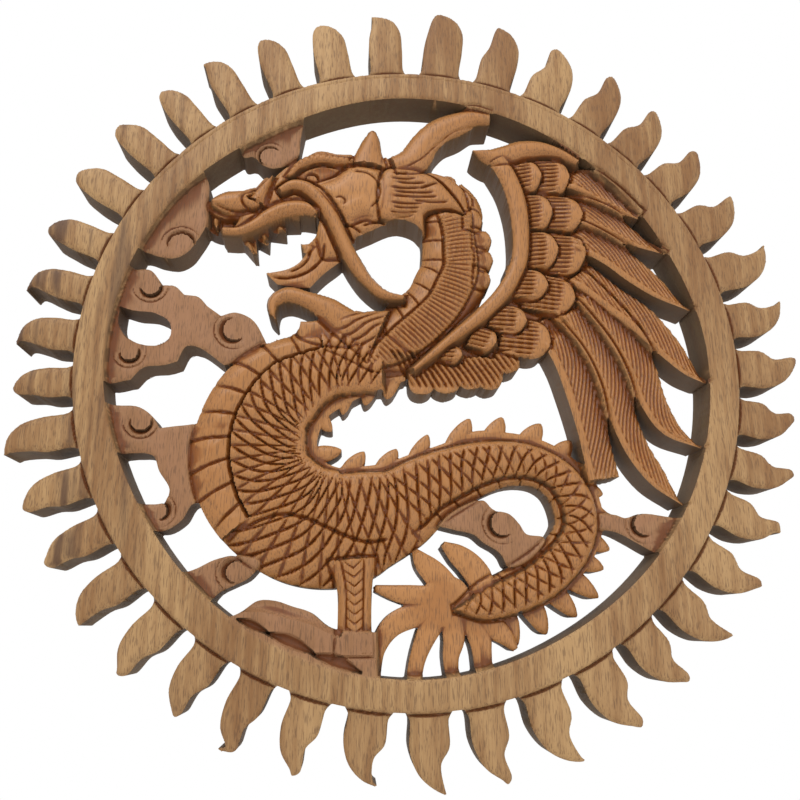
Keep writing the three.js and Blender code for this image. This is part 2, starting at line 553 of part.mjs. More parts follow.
function carvedPanel() {
  const solid = joined([ringBand(), rays(), clouds(), bodyMass(), spineFins(), tailFan(), leg(),
    arm(), wing(), head()]);
  const panel = new THREE.Mesh(toGeometry(solid), wood);
  panel.name = 'carved_panel';
  panel.position.set(0, 0, -ringMiddleRadius);
  return panel;
}

const group = new THREE.Group();
group.add(carvedPanel());

export default group;
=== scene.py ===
"""A round pierced wood carving for the wall: a winged dragon in relief, with cloud scrolls and a
rock, inside a ring that throws off forty flame rays.

The panel hangs in its own frame, in metres: +Z up, +Y into the wall, carved front towards -Y.
The relief is worked out in millimetres from the ring's centre, as heights above the flat back.
"""

import math
from collections import namedtuple

import bpy
import numpy as np
from mathutils import Matrix, Vector
from mathutils.geometry import delaunay_2d_cdt


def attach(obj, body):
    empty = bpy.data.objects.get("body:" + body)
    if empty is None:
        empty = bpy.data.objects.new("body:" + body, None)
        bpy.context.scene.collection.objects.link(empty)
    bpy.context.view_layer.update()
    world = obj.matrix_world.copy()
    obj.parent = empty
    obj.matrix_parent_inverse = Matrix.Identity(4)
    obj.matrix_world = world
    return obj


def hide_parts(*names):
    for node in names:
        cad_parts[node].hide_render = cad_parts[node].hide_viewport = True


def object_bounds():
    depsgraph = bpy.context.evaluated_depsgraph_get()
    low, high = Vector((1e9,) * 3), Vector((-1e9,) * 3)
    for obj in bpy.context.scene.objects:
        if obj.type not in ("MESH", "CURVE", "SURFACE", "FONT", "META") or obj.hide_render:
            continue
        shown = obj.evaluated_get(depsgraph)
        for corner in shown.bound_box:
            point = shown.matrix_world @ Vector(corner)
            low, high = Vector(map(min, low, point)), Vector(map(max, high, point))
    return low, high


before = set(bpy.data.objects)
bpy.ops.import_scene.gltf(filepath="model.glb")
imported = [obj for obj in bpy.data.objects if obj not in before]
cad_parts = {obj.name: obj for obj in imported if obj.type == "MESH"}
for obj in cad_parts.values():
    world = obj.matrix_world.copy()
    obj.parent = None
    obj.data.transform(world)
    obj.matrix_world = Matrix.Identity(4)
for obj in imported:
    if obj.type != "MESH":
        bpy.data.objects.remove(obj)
cad_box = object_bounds()

bl_info = {
    "name": "Carved Dragon Panel",
    "version": (1, 0, 0),
    "blender": (4, 5, 0),
    "location": "View3D > Sidebar > Carved Panel",
    "description": "Builds a round pierced wood carving and a plain studio round it",
    "category": "Add Mesh",
}

MM = 0.001
FAR = 1000.0
PLANK_THICKNESS = cad_box[1].y - cad_box[0].y


def linear(red, green, blue):
    """A colour as it looks on a screen, 0 to 255 each, as the light values that shaders use."""
    return tuple((channel / 255) ** 2.2 for channel in (red, green, blue))


def length_property(name, description, default):
    return bpy.props.FloatProperty(
        name=name, description=description, default=default, min=0.0, unit="LENGTH", precision=4)


def colour_property(name, description, default):
    return bpy.props.FloatVectorProperty(
        name=name, description=description, default=default, min=0.0, max=1.0, subtype="COLOR")


def share_property(name, description, default):
    return bpy.props.FloatProperty(
        name=name, description=description, default=default, min=0.0, max=1.0, subtype="FACTOR")


class PanelSizes(bpy.types.PropertyGroup):
    """The sizes of the plank, the ring, the rays and the fine cuts."""

    thickness: length_property(
        "Plank thickness", "From the flat back to the ring's face", PLANK_THICKNESS)
    ring_inner_radius: length_property(
        "Ring inner radius", "The figure inside is drawn in shares of it", 0.150)
    ring_band_width: length_property("Ring width", "Width of the plain ring", 0.0155)
    ray_length: length_property("Ray length", "Length of the longest ray", 0.043)
    ray_step: length_property("Ray step", "How far the rays lie behind the ring's face", 0.0018)
    carving_step: length_property(
        "Carving step", "Spacing of the points that the relief is worked out on", 0.0006)
    most_triangles: bpy.props.IntProperty(
        name="Most triangles", description="The finished mesh has no more than these",
        default=190000, min=20000)
    outline_cut: length_property(
        "Outline cut", "Depth of the cut round each raised form", 0.0013)
    scale_pitch: length_property("Scale pitch", "Length of a scale along the body", 0.006)
    scale_cut: length_property("Scale cut", "Depth of the grooves between scales", 0.0013)
    rib_pitch: length_property("Neck rib pitch", "Spacing of the ribs on the neck", 0.0023)
    barb_pitch: length_property("Barb pitch", "Spacing of the grooves on a feather", 0.0024)
    comb_pitch: length_property("Comb pitch", "Spacing of the cuts on a covert", 0.0024)


class WoodFinish(bpy.types.PropertyGroup):
    """The colours and the gloss of the oiled wood."""

    pale: colour_property("Pale grain", "The lighter wood of the plank", linear(168, 133, 91))
    brown: colour_property("Brown grain", "The darker wood of the plank", linear(126, 89, 55))
    streak: colour_property("Dark streaks", "Bands of dark heartwood", linear(84, 60, 44))
    stained: colour_property("Stained figure", "The dragon's oiled wood", linear(127, 72, 25))
    # Real rubbed wear together with a painted highlight on the figure's ridges; the pale parts are
    # lightened with it as well
    wear_and_highlight: colour_property("Worn ridges", "Ridges rubbed light", linear(172, 121, 74))
    # Stain left in the cuts together with painted shade in every hollow; it also darkens random
    # patches of the figure
    groove: colour_property("Dark grooves", "Stain left in the cuts", linear(97, 48, 15))
    cloud: colour_property("Clouds", "The duller wood of the clouds", linear(147, 106, 76))
    # The sawn walls' own darker tone together with painted shade
    sawn_wall_and_shade: colour_property("Sawn walls", "The walls of the pierced gaps", linear(68, 54, 37))
    gloss: share_property("Figure roughness", "Roughness of the oiled figure", 0.36)
    matt: share_property("Ring roughness", "Roughness of the plain ring", 0.55)
    grain_depth: length_property("Grain depth", "Depth of the pores in the wood", 0.00012)


class StudioSettings(bpy.types.PropertyGroup):
    """The camera's lens, the lights and the floor."""

    lens: bpy.props.FloatProperty(
        name="Lens", description="Focal length in millimetres", default=36.9, min=1.0)
    key_power: bpy.props.FloatProperty(
        name="Key light", description="Power of the large light above", default=6.0,
        min=0.0, unit="POWER")
    fill_power: bpy.props.FloatProperty(
        name="Fill light", description="Power of the soft light in front", default=2.0,
        min=0.0, unit="POWER")
    sky: share_property("Surrounding light", "Brightness of the pale room", 1.0)
    floor_drop: length_property("Floor drop", "How far the floor lies below the hook", 0.80)


# Levels of the relief, as shares of the plank's thickness above the back
LEVEL = {
    "cloud": 0.78, "rock": 0.97, "fin": 0.66, "fan": 0.74,
    "leg": 0.94, "body edge": 0.68, "body": 0.98, "belly": 0.84, "wing base": 0.6,
    "feather edge": 0.7, "feather": 0.92, "outer covert": 0.9, "inner covert": 0.94,
    "fringe": 0.76, "wing arm": 0.98, "wing top": 0.95, "snout bed": 0.55, "teeth": 0.66,
    "scallop": 0.72, "lower jaw": 0.76, "skull": 0.84, "lock": 0.93, "horn": 0.95,
    "head high": 0.98, "whisker": 1.0,
}
GENTLE_FALL = 0.08
STEEP_FALL = 0.15

# Which part of the carving a point shows, for its colour and gloss
PLAIN, CLOUD, FIGURE, PALE_FIGURE = range(4)

# How steeply a form drops outside its own edge, and how its edge is rounded, in millimetres
EDGE_DROP = 2.6
EDGE_ROUNDING = 0.9
LOWEST_RELIEF = 2.0
# The relief stays this far behind the plank's face
FACE_CLEARANCE = 0.02
# The cut round a form: how far outside its edge it is deepest, how wide it spreads, and how far
# inside the edge it ends
CUT_PLACE, CUT_SPREAD, CUT_END = 0.9, 0.8, 0.4
# A form's colour goes on this far past its edge
COLOUR_REACH = 0.3
# Faces that meet at more than this keep a sharp edge between them
SHARP_ANGLE = math.radians(38)
# How far round a point its height is compared, in grid points, and what each comparison counts
FINE_BLUR, FINE_WEIGHT = 2, 0.9
BROAD_BLUR, BROAD_WEIGHT = 6, 0.22

# Width and depth of the single cuts, in millimetres
CUT = {
    "thigh": (3.0, 2.2), "chest": (2.2, 1.6), "shoulder": (2.0, 1.2), "fringe": (2.2, 1.5),
    "eyelid": (3.0, 2.4), "lip": (2.0, 1.6), "mane": (1.9, 1.3), "jaw": (2.2, 1.8),
    "horn": (1.6, 0.9), "cheek curl": (2.2, 1.6), "cheek comma": (1.8, 1.2),
}

Near = namedtuple("Near", "window distance along across half depth")


def smooth_line(points, step=0.9):
    """A smooth line through points, as close-set points; every column is drawn on alike."""
    points = np.array(points, float)
    padded = np.vstack([2 * points[0] - points[1], points, 2 * points[-1] - points[-2]])
    stretches = []
    for before, start, end, after in zip(padded, padded[1:], padded[2:], padded[3:]):
        gaps = [max(np.linalg.norm(b - a) ** 0.5, 1e-4)
                for a, b in ((before, start), (start, end), (end, after))]
        leaving = ((start - before) / gaps[0] - (end - before) / (gaps[0] + gaps[1])
                   + (end - start) / gaps[1]) * gaps[1]
        arriving = ((end - start) / gaps[1] - (after - start) / (gaps[1] + gaps[2])
                    + (after - end) / gaps[2]) * gaps[1]
        count = max(2, math.ceil(np.linalg.norm(end[:2] - start[:2]) / step))
        t = np.linspace(0, 1, count, endpoint=False)[:, None]
        stretches.append(
            (2 * t**3 - 3 * t**2 + 1) * start + (t**3 - 2 * t**2 + t) * leaving
            + (3 * t**2 - 2 * t**3) * end + (t**3 - t**2) * arriving)
    return np.vstack(stretches + [points[-1:]])


def smooth_outline(points, step=0.9):
    """A closed outline through points; a point with a 1 after it is a sharp corner."""
    corners = [i for i, point in enumerate(points) if len(point) > 2] or [0]
    places = [point[:2] for point in points]
    outline = []
    for start, end in zip(corners, corners[1:] + [corners[0] + len(points)]):
        stretch = [places[i % len(points)] for i in range(start, end + 1)]
        outline.append(smooth_line(stretch, step)[:-1])
    return np.vstack(outline)


def to_nearest(value, pitch):
    """Distance to the nearest of a row of evenly spaced lines."""
    return np.abs((value / pitch + 0.5) % 1 - 0.5) * pitch


def notch(distance, width, depth):
    """A V-shaped cut: its depth at a distance from its line."""
    return depth * np.clip(1 - np.abs(distance) / (width / 2), 0, 1)


def ripple(value, pitch, depth):
    """A row of evenly spaced round grooves: their depth at a place."""
    return depth * (0.5 - 0.5 * np.cos(value / pitch * 2 * math.pi))


def crowned(height, depth, drop, reach):
    """A height that falls by some drop towards the edge of its form, over some reach."""
    return height - drop * np.exp(-np.maximum(depth, 0) / reach)


def step_up(value, start, end):
    """0 before start and 1 after end, with a smooth turn between."""
    share = np.clip((value - start) / (end - start), 0, 1)
    return share * share * (3 - 2 * share)


class Relief:
    """The carved front, as heights over a square grid of points round the ring's centre."""

    def __init__(self, sizes):
        self.thickness = sizes.thickness / MM
        self.unit = sizes.ring_inner_radius / MM / 150
        self.step = sizes.carving_step / MM
        self.cut_depth = sizes.outline_cut / MM
        reach = (sizes.ring_inner_radius + sizes.ring_band_width + sizes.ray_length) / MM + 3
        self.axis = np.arange(-reach, reach, self.step)
        self.x, self.z = np.meshgrid(self.axis, self.axis)
        self.inside = np.full(self.x.shape, -FAR)
        self.height = np.zeros(self.x.shape)
        self.part = np.zeros(self.x.shape, int)

    def window(self, points, reach):
        """The rows and columns of the grid round some points."""
        low, high = points.min(0)[:2] - reach, points.max(0)[:2] + reach
        columns = np.searchsorted(self.axis, (low[0], high[0]))
        rows = np.searchsorted(self.axis, (low[1], high[1]))
        return slice(*rows), slice(*columns)

    def drawn(self, points):
        """Points of the figure at the ring's size."""
        return [tuple(value * self.unit for value in point) for point in points]

    def follow(self, line, reach):
        """Where each grid point near a line lies: along it, across it (left is positive), and
        how far inside the line's own width."""
        window = self.window(line, reach)
        x, z = self.x[window], self.z[window]
        nearest = np.full(x.shape, FAR)
        along, half = np.zeros(x.shape), np.ones(x.shape)
        across = np.full(x.shape, FAR)
        beyond = np.full(x.shape, -FAR)
        rows0, columns0 = window[0].start, window[1].start
        travelled = 0.0
        last = len(line) - 2
        for i, (start, end) in enumerate(zip(line, line[1:])):
            rows, columns = self.window(np.array([start[:2], end[:2]]), reach)
            part = (slice(rows.start - rows0, rows.stop - rows0),
                    slice(columns.start - columns0, columns.stop - columns0))
            step = end[:2] - start[:2]
            length = max(np.hypot(*step), 1e-6)
            way = step / length
            from_x, from_z = x[part] - start[0], z[part] - start[1]
            place = from_x * way[0] + from_z * way[1]
            sideways = from_z * way[0] - from_x * way[1]
            share = np.clip(place / length, 0, 1)
            past = place - share * length
            distance = np.hypot(past, sideways)
            closer = distance < nearest[part]
            open_end = ((i == 0) & (past < 0)) | ((i == last) & (past > 0))
            signed = np.where(open_end, sideways, np.copysign(distance, sideways))
            nearest[part] = np.where(closer, distance, nearest[part])
            along[part] = np.where(closer, travelled + share * length, along[part])
            across[part] = np.where(closer, signed, across[part])
            beyond[part] = np.where(closer, np.where(open_end, np.abs(past), -FAR), beyond[part])
            if len(start) > 2:
                width = start[2] + (end[2] - start[2]) * share
                half[part] = np.where(closer, np.maximum(width, 0.4) / 2, half[part])
            travelled += length
        depth = np.minimum(half - np.abs(across), -beyond)
        return Near(window, nearest, along, across, half, depth)

    def surround(self, outline, reach=8.0):
        """How far inside a closed outline each grid point near it lies, up to a limit."""
        near = self.follow(np.vstack([outline, outline[:1]]), reach)
        window = near.window
        distance = np.minimum(near.distance, reach)
        x, z = self.x[window], self.z[window]
        within = np.zeros(x.shape, bool)
        for (ax, az), (bx, bz) in zip(outline, np.roll(outline, -1, 0)):
            if az == bz:
                continue
            crossing = (az > z) != (bz > z)
            within ^= crossing & (x < (bx - ax) * (z - az) / (bz - az) + ax)
        return window, np.where(within, distance, -distance)

    def within(self, points):
        """How far inside a smooth outline of the figure each grid point near it lies."""
        return self.surround(smooth_outline(self.drawn(points)))

    def raise_form(self, window, depth, height, part, cut=1.0):
        """Adds a form where it stands above what is there, with a cut round its edge."""
        rounded = crowned(height, depth, EDGE_ROUNDING, EDGE_ROUNDING)
        fallen = rounded + np.minimum(depth, 0) * EDGE_DROP
        beside = np.exp(-((depth + CUT_PLACE) / CUT_SPREAD) ** 2) * (depth < CUT_END)
        ground = self.height[window] - cut * self.cut_depth * beside
        shows = fallen > ground
        self.height[window] = np.where(shows, fallen, ground)
        self.part[window] = np.where(shows & (depth > -COLOUR_REACH), part, self.part[window])
        self.inside[window] = np.maximum(self.inside[window], depth)

    def plate(self, points, level, part, cut=1.0, rounding=0.0, reach=6.0):
        """A form cut to an outline: flat, or rounded off towards its edge."""
        window, depth = self.within(points)
        fall = rounding * (1 - np.clip(depth / reach, 0, 1)) ** 2
        self.raise_form(window, depth, self.thickness * level - fall, part, cut)

    def disc(self, x, z, radius, level, part, dome=0.0, cut=1.0):
        """A round boss."""
        centre = np.array([[x, z]]) * self.unit
        window = self.window(centre, radius * self.unit + 5)
        distance = np.hypot(self.x[window] - centre[0, 0], self.z[window] - centre[0, 1])
        share = np.clip(distance / (radius * self.unit), 0, 1)
        height = self.thickness * level - dome * share**2
        self.raise_form(window, radius * self.unit - distance, height, part, cut)

    def stroke(self, points, section, part, marks=None, cut=1.0, instead=False):
        """A form along a line, with a cross-section and with marks cut into it. It is added
        to what is there, or carved instead of it."""
        line = smooth_line(self.drawn(points))
        near = self.follow(line, line[:, 2].max() / 2 + 5)
        share = np.clip(near.across / near.half, -1, 1)
        height = self.thickness * section(share)
        if marks is not None:
            height = height - marks(near, share)
        if instead:
            within = (near.depth > 0) & (self.inside[near.window] > -0.5)
            self.height[near.window] = np.where(within, height, self.height[near.window])
            self.part[near.window] = np.where(within, part, self.part[near.window])
        else:
            self.raise_form(near.window, near.depth, height, part, cut)

    def cut_line(self, points, width, depth):
        """A V-shaped cut along a line over whatever is there; it fades out at both ends."""
        line = smooth_line(self.drawn(points))
        near = self.follow(line, width)
        length = near.along.max()
        fade = step_up(near.along, -0.5, 2.5) * step_up(length - near.along, -0.5, 2.5)
        hollow = notch(near.across, width, depth) * fade
        self.height[near.window] -= np.where(near.depth > -FAR / 2, hollow, 0)

    def scoop(self, points, depth):
        """A long hollow left by a gouge, as wide as the line says at each place."""
        line = smooth_line(self.drawn(points))
        near = self.follow(line, line[:, 2].max())
        share = np.clip(near.across / near.half, -1, 1)
        self.height[near.window] -= np.where(near.depth > 0, depth * (1 - share**2), 0)

    def recess(self, points, depth, slope=1.5):
        """Lowers whatever is inside an outline, with sides that slope down over some length."""
        window, inward = self.within(points)
        self.height[window] -= depth * step_up(inward, 0, slope)

    def crescent(self, x, z, radius, bearing, width, depth):
        """A gouged crescent round part of a circle, deepest towards one bearing."""
        centre = np.array([[x, z]]) * self.unit
        window = self.window(centre, (radius + width) * self.unit)
        from_x, from_z = self.x[window] - centre[0, 0], self.z[window] - centre[0, 1]
        turn = np.arctan2(from_z, from_x) - math.radians(bearing)
        swell = np.clip(np.cos(turn) * 0.8 + 0.2, 0, 1) ** 0.6
        outward = np.hypot(from_x, from_z) - radius * self.unit
        share = np.clip(outward / (width * self.unit * np.maximum(swell, 0.05)), 0, 1)
        gouged = (outward > 0) * depth * swell * (1 - share) ** 0.8
        self.height[window] -= gouged


# Cross-sections: the level at each share of the half width, where +1 is the left of the line
def domed(crown, fall):
    return lambda share: crown - fall * np.abs(share) ** 2.2


def feathered(share):
    """A feather is tucked low under its upper neighbour and rises to a rib at its lower edge."""
    rib = LEVEL["feather"]
    return rib - (rib - LEVEL["feather edge"]) * np.clip((0.6 + share) / 1.6, 0, 1) ** 1.1


# The rays are unevenly spaced: bearings of the notches between them, in degrees from +X
NOTCH_BEARINGS = [
    3.5, 12.2, 21.7, 31.5, 41, 50.2, 59, 69.3, 79, 89.8, 99.3, 109.5, 119, 128, 136.8, 146.2,
    156, 164.7, 172.8, 181.3, 189, 198, 206.8, 215, 223.7, 232.5, 241, 249.2, 257.8, 267.2,
    276.2, 284.5, 293.7, 303, 311.7, 320, 329, 337.7, 345.8, 354.5]
# How far each ray's tip leans on, in degrees, and its length as a share of the longest ray's
TIP_LEANS = [
    2, 2.6, 2.8, 2.4, 1.8, 1.9, 1.7, 1.9, 1.9, 1.6, 2, 0.6, 0.8, 1.5, 0.6, 0.2, 0.4, 0.7, 2.8,
    2.5, 0.9, 2, 1.1, 0.6, 1.7, 0.9, 1.3, -0.6, 1, 3, 2.1, 1.2, 2.4, 1.5, 1.5, 2, 1.5, 0.7, 1.3,
    1.4]
RAY_SHARES = [
    0.77, 0.74, 0.83, 0.8, 0.83, 0.86, 0.93, 0.93, 0.96, 1, 0.93, 0.89, 0.89, 0.89, 0.86, 0.86,
    0.83, 0.76, 0.71, 0.68, 0.67, 0.8, 0.74, 0.74, 0.76, 0.79, 0.75, 0.8, 0.77, 0.73, 0.8, 0.8,
    0.83, 0.82, 0.77, 0.8, 0.79, 0.75, 0.75, 0.7]
# From 0, a blunt rounded tongue, to 1, a hooked flame, at every 30 degrees round the compass
FLAME_HOOK = [1, 1, 0.9, 0.1, 0, 0.1, 0.4, 0.5, 0.8, 1, 1, 1]
# How far each side of a ray lies on, as a share of the pitch, at every 30 degrees
RISING_SHIFT = [0.02, 0.01, 0, 0, -0.03, -0.07, -0.07, -0.07, -0.04, 0.02, 0.1, 0.06]
FALLING_SHIFT = [0.07, 0.06, 0.05, -0.03, -0.13, -0.15, -0.09, -0.12, -0.08, 0, 0.11, 0.07]
# How far the ring's inner edge wanders, in millimetres, at every 30 degrees
INNER_EDGE_WANDER = [0.5, -1.9, -0.8, 0, -2.8, 0.6, 1.2, -1.6, 0, 1.5, -0.2, 0.8]
# One side of a ray, as share of its length, then share of the pitch for tongue and for flame
RISING_SIDE = [(0.02, 0.14, 0.14), (0.1, 0.2, 0.2), (0.45, 0.21, 0.2), (0.75, 0.23, 0.34),
               (0.93, 0.36, 0.57)]
FALLING_SIDE = [(0.93, 0.72, 0.73), (0.64, 0.83, 0.7), (0.44, 0.85, 0.85), (0.1, 0.88, 0.88),
                (0.02, 0.94, 0.94)]
RAY_ROOT_OVERLAP = 4
# How much a ray and a fin fall towards their edges, and over what reach, in millimetres
RAY_CROWN = (0.9, 2.2)
FIN_CROWN = (1.1, 2.4)
# A faint groove along the ring's outer edge: how far in, how wide and how deep, in millimetres.
# It lies along the top only: it appears at these distances, in degrees, from a bearing below
GROOVE_INSET, GROOVE_WIDTH, GROOVE_DEPTH = 2.6, 1.5, 0.5
GROOVE_AWAY_FROM = 265
GROOVE_APPEARS = (110, 125)


def round_the_compass(values, degrees):
    """A value that changes smoothly round the compass, given at evenly spaced bearings."""
    place = np.asarray(degrees) % 360 / (360 / len(values))
    start = np.floor(place).astype(int)
    blend = (1 - np.cos((place - start) * math.pi)) / 2
    values = np.array(values)
    return values[start % len(values)] * (1 - blend) + values[(start + 1) % len(values)] * blend


def polar(degrees, radius):
    angle = math.radians(degrees)
    return math.cos(angle) * radius, math.sin(angle) * radius


def carve_ring(relief, sizes):
    """The plain ring: a true circle outside, and an inner edge that wanders a little."""
    radius = np.hypot(relief.x, relief.z)
    bearing = np.degrees(np.arctan2(relief.z, relief.x))
    wander = round_the_compass(INNER_EDGE_WANDER, bearing) * relief.unit
    inner = sizes.ring_inner_radius / MM + wander
    outer = (sizes.ring_inner_radius + sizes.ring_band_width) / MM
    depth = np.minimum(radius - inner, outer - radius)
    everywhere = (slice(None), slice(None))
    relief.raise_form(everywhere, depth, relief.thickness + 0 * depth, PLAIN)
    groove = notch(radius - (outer - GROOVE_INSET * relief.unit), GROOVE_WIDTH, GROOVE_DEPTH)
    away = 180 - np.abs((bearing - GROOVE_AWAY_FROM) % 360 - 180)
    relief.height -= groove * step_up(away, *GROOVE_APPEARS)


def ray_outline(k, sizes):
    start = NOTCH_BEARINGS[k - 1] - (360 if k == 0 else 0)
    pitch = NOTCH_BEARINGS[k] - start
    middle = start + pitch / 2
    hook = round_the_compass(FLAME_HOOK, middle)
    root = (sizes.ring_inner_radius + sizes.ring_band_width) / MM
    length = sizes.ray_length / MM * RAY_SHARES[k]

    rising = round_the_compass(RISING_SHIFT, middle)
    falling = round_the_compass(FALLING_SHIFT, middle)

    def side(rows, shift):
        return [polar(start + pitch * (tongue * (1 - hook) + flame * hook + shift),
                      root + rise * length) for rise, tongue, flame in rows]

    return [
        polar(start + pitch * 0.05, root - RAY_ROOT_OVERLAP) + (1,),
        *side(RISING_SIDE, rising),
        polar(middle + TIP_LEANS[k] + pitch * (rising + falling) / 2, root + length - 0.3),
        *side(FALLING_SIDE, falling),
        polar(start + pitch * 0.95, root - RAY_ROOT_OVERLAP) + (1,)]


def carve_rays(relief, sizes):
    level = relief.thickness - sizes.ray_step / MM
    for k in range(len(NOTCH_BEARINGS)):
        window, depth = relief.surround(smooth_outline(ray_outline(k, sizes)))
        relief.raise_form(window, depth, crowned(level, depth, *RAY_CROWN), PLAIN, cut=0)


# Everything inside the ring is drawn in 150ths of its inner radius, from its centre
CLOUDS = [
    [(-94, 126), (-90, 113), (-85, 113.5), (-80, 109), (-74, 107), (-62, 113), (-60.5, 124),
     (-60, 142)],
    [(-114, 106), (-108, 98), (-107, 86), (-107, 74), (-112, 63), (-116, 57), (-122, 53.5),
     (-130, 54), (-138, 56.5), (-146, 56)],
    [(-152, 46.5), (-141, 46.5), (-134, 46.5), (-127, 38.5, 1), (-121, 38), (-116, 33.5, 1),
     (-109, 32.5), (-104, 27.5, 1), (-97, 22.5, 1), (-90, 24.5), (-81.5, 21), (-76, 13),
     (-73, 3), (-94, -3.5, 1), (-107, 5.5), (-113, 6), (-117, -2, 1), (-123, -4),
     (-133, -5.5), (-139, -12, 1), (-152, -13)],
    [(-152, -26), (-142, -25), (-134, -25.5), (-127, -30), (-123, -36, 1), (-112, -34.5),
     (-95, -34), (-95, -71), (-104.5, -72.5), (-109.5, -80.5), (-118, -85.5), (-128, -83),
     (-130, -74), (-118.5, -72), (-116, -66), (-121.5, -57), (-124.5, -50), (-128.5, -48.5),
     (-134, -48.5), (-152, -48)],
    [(-108, -105), (-101, -102.5), (-93, -98.5), (-84, -96.5), (-72, -99), (-76.5, -106.5),
     (-83, -110), (-90, -113.5), (-96, -119)],
    [(86, -75.5), (98, -76), (103, -77.5), (110, -75.5), (119, -76), (137, -81.5), (127, -97),
     (117, -94.5), (107, -89), (98, -84.5), (86, -81.5)],
    [(12, -82), (18, -76), (27, -71), (33.5, -69.5), (38.5, -74), (46, -76), (51, -81),
     (54, -85.5), (63, -87.5), (55, -98), (45, -101), (42, -96), (39.5, -93.5), (33.5, -90),
     (28.5, -86), (20, -84)],
]
CLOUD_GAP = [(-147, 26), (-140, 24), (-130, 23), (-122, 18), (-121.5, 10), (-127, 6),
             (-136, 6.5), (-143, 10.5), (-147, 17)]
# Each scroll: the middle and radius of its round end, and the bearing of the gouge beside it
CLOUD_SCROLLS = [
    (-76, 113.5, 5.5, 140, 1.5), (-119.5, 60.5, 6.5, 90, 2.4), (-133, 38, 5, 290, 2.4),
    (-140.5, 2.5, 4.5, 285, 2.2), (-89.5, 15.5, 6, 205, 3), (-132, -32.5, 5, 275, 2.2),
    (-120.5, -76, 4.2, 20, 2.6), (-82.5, -104, 5, 165, 3), (112.5, -80.5, 5.5, 190, 2.6),
    (43, -80.5, 6, 200, 2.6)]
SCROLL_GAP = 1.2
SCROLL_DEPTH = 3.2
# A finer line beyond the gouge: its width and depth
SCROLL_LINE = (1.4, 0.9)
ROCK = [(-92, -128), (-80, -122.5), (-72, -117), (-64, -117), (-56, -119.5), (-48, -122),
        (-38, -129), (-18, -131, 1), (-17, -154, 1), (-50, -148), (-75, -134)]
ROCK_GOUGES = [
    [(-81, -125, 1), (-74, -127.5, 4.5), (-66, -131.5, 1)],
    [(-68, -131, 1), (-56, -135, 6.5), (-45, -140.5, 1)],
    [(-47, -140.5, 1), (-35, -143.5, 6.5), (-24, -148.5, 1)],
]
ROCK_SHOULDER = [(-84, -121, 4), (-72, -118.5, 7), (-58, -121, 8), (-46, -124, 8),
                 (-33, -131, 6)]
ROCK_GOUGE_DEPTH = 3.2
ROCK_SHOULDER_DEPTH = 3.0


def carve_clouds(relief):
    for outline in CLOUDS:
        relief.plate(outline, LEVEL["cloud"], CLOUD, cut=0)
    window, depth = relief.within(CLOUD_GAP)
    relief.inside[window] = np.minimum(relief.inside[window], -depth)
    for x, z, radius, bearing, width in CLOUD_SCROLLS:
        relief.crescent(x, z, radius, bearing, width, SCROLL_DEPTH)
        relief.crescent(x, z, radius + width + SCROLL_GAP, bearing, *SCROLL_LINE)


def carve_rock(relief):
    relief.plate(ROCK, LEVEL["rock"], CLOUD, cut=0)
    relief.scoop(ROCK_SHOULDER, ROCK_SHOULDER_DEPTH)
    for gouge in ROCK_GOUGES:
        relief.scoop(gouge, ROCK_GOUGE_DEPTH)


# The dragon's neck and body are one long taper from the mane to the tip of the tail
NECK = [(14, 98, 30), (19, 86, 38), (21.5, 72.5, 33), (22.5, 60, 35), (22.5, 51, 36),
        (18.5, 41, 37), (13.5, 31.5, 36), (5.5, 22.5, 37), (-4, 14, 36), (-13, 6.5, 29),
        (-20, 1, 18), (-26, -3, 4)]
BODY = [(-16, 4, 38), (-39.5, 3, 41), (-51, -2.5, 39), (-64, -11.5, 45), (-75.5, -25, 50),
        (-80, -45.5, 54), (-76.5, -61, 55), (-67.5, -72.5, 56), (-52, -82, 56),
        (-33.5, -83.5, 54), (-20, -79.5, 47), (-6, -74, 39.4), (6.5, -65.2, 33.2),
        (19.5, -59, 29.5), (30.5, -54.6, 25.8), (43.2, -51.8, 22), (54, -51.8, 20),
        (64, -54.7, 18.6), (72, -60.5, 18.8), (77.5, -70.5, 19.8), (78.5, -81.5, 19.6),
        (73.7, -92, 20.6), (64.5, -101.5, 21.6), (53, -109, 21), (42, -113.6, 19.4),
        (31.5, -117.5, 15.8), (19, -120.5, 2)]
# The belly's broad plates line the outside of the bend as far as the thigh
BELLY = [(-46, 10, 9), (-60.5, 6.8, 12), (-70, 3.2, 12.5), (-79.5, -3.2, 15), (-88, -13.5, 17),
         (-94, -25.5, 17.5), (-97.6, -39, 19), (-98.2, -50, 20), (-96.2, -61, 20),
         (-92.6, -72, 20), (-86.5, -82, 19), (-84.5, -84.5, 18.5)]
THIGH_LINE = [(-80, -84), (-72, -80), (-63, -77.5), (-52, -79), (-42, -83), (-33, -87),
              (-22, -90), (-12, -88.5)]
CHEST_LINE = [(-25, 22), (-14, 14), (-5, 6), (2, 2)]
SHOULDER_LINE = [(-46, 5), (-36, 1), (-26, -4), (-19, -7)]
# The tail's belly starts again behind the leg, at this length along the body and share across
TAIL_BELLY_START = 185
TAIL_BELLY_SHARE = 0.64
BELLY_PITCH = 13.2
# How far the net of scales leans, the stretch of the body on which it straightens, how much each
# scale is tilted, and from which share across the scales grow faint
SCALE_LEAN, SCALE_STRAIGHTENS, SCALE_TILT, SCALE_FAINT = 0.32, (165, 225), 0.8, (0.62, 1.0)
# Shares across the neck at which the throat and the plain strip begin, how deep the ribs and the
# throat's bands are cut, and where the neck comes out from under the mane and how deep it lies
THROAT_SHARE, STRIP_SHARE = 0.37, 0.65
RIB_DEPTH, BAND_PITCH, BAND_CUT = 0.9, 11.5, (1.8, 1.2)
NECK_EMERGES, NECK_SUNK = (13, 20), 3.0


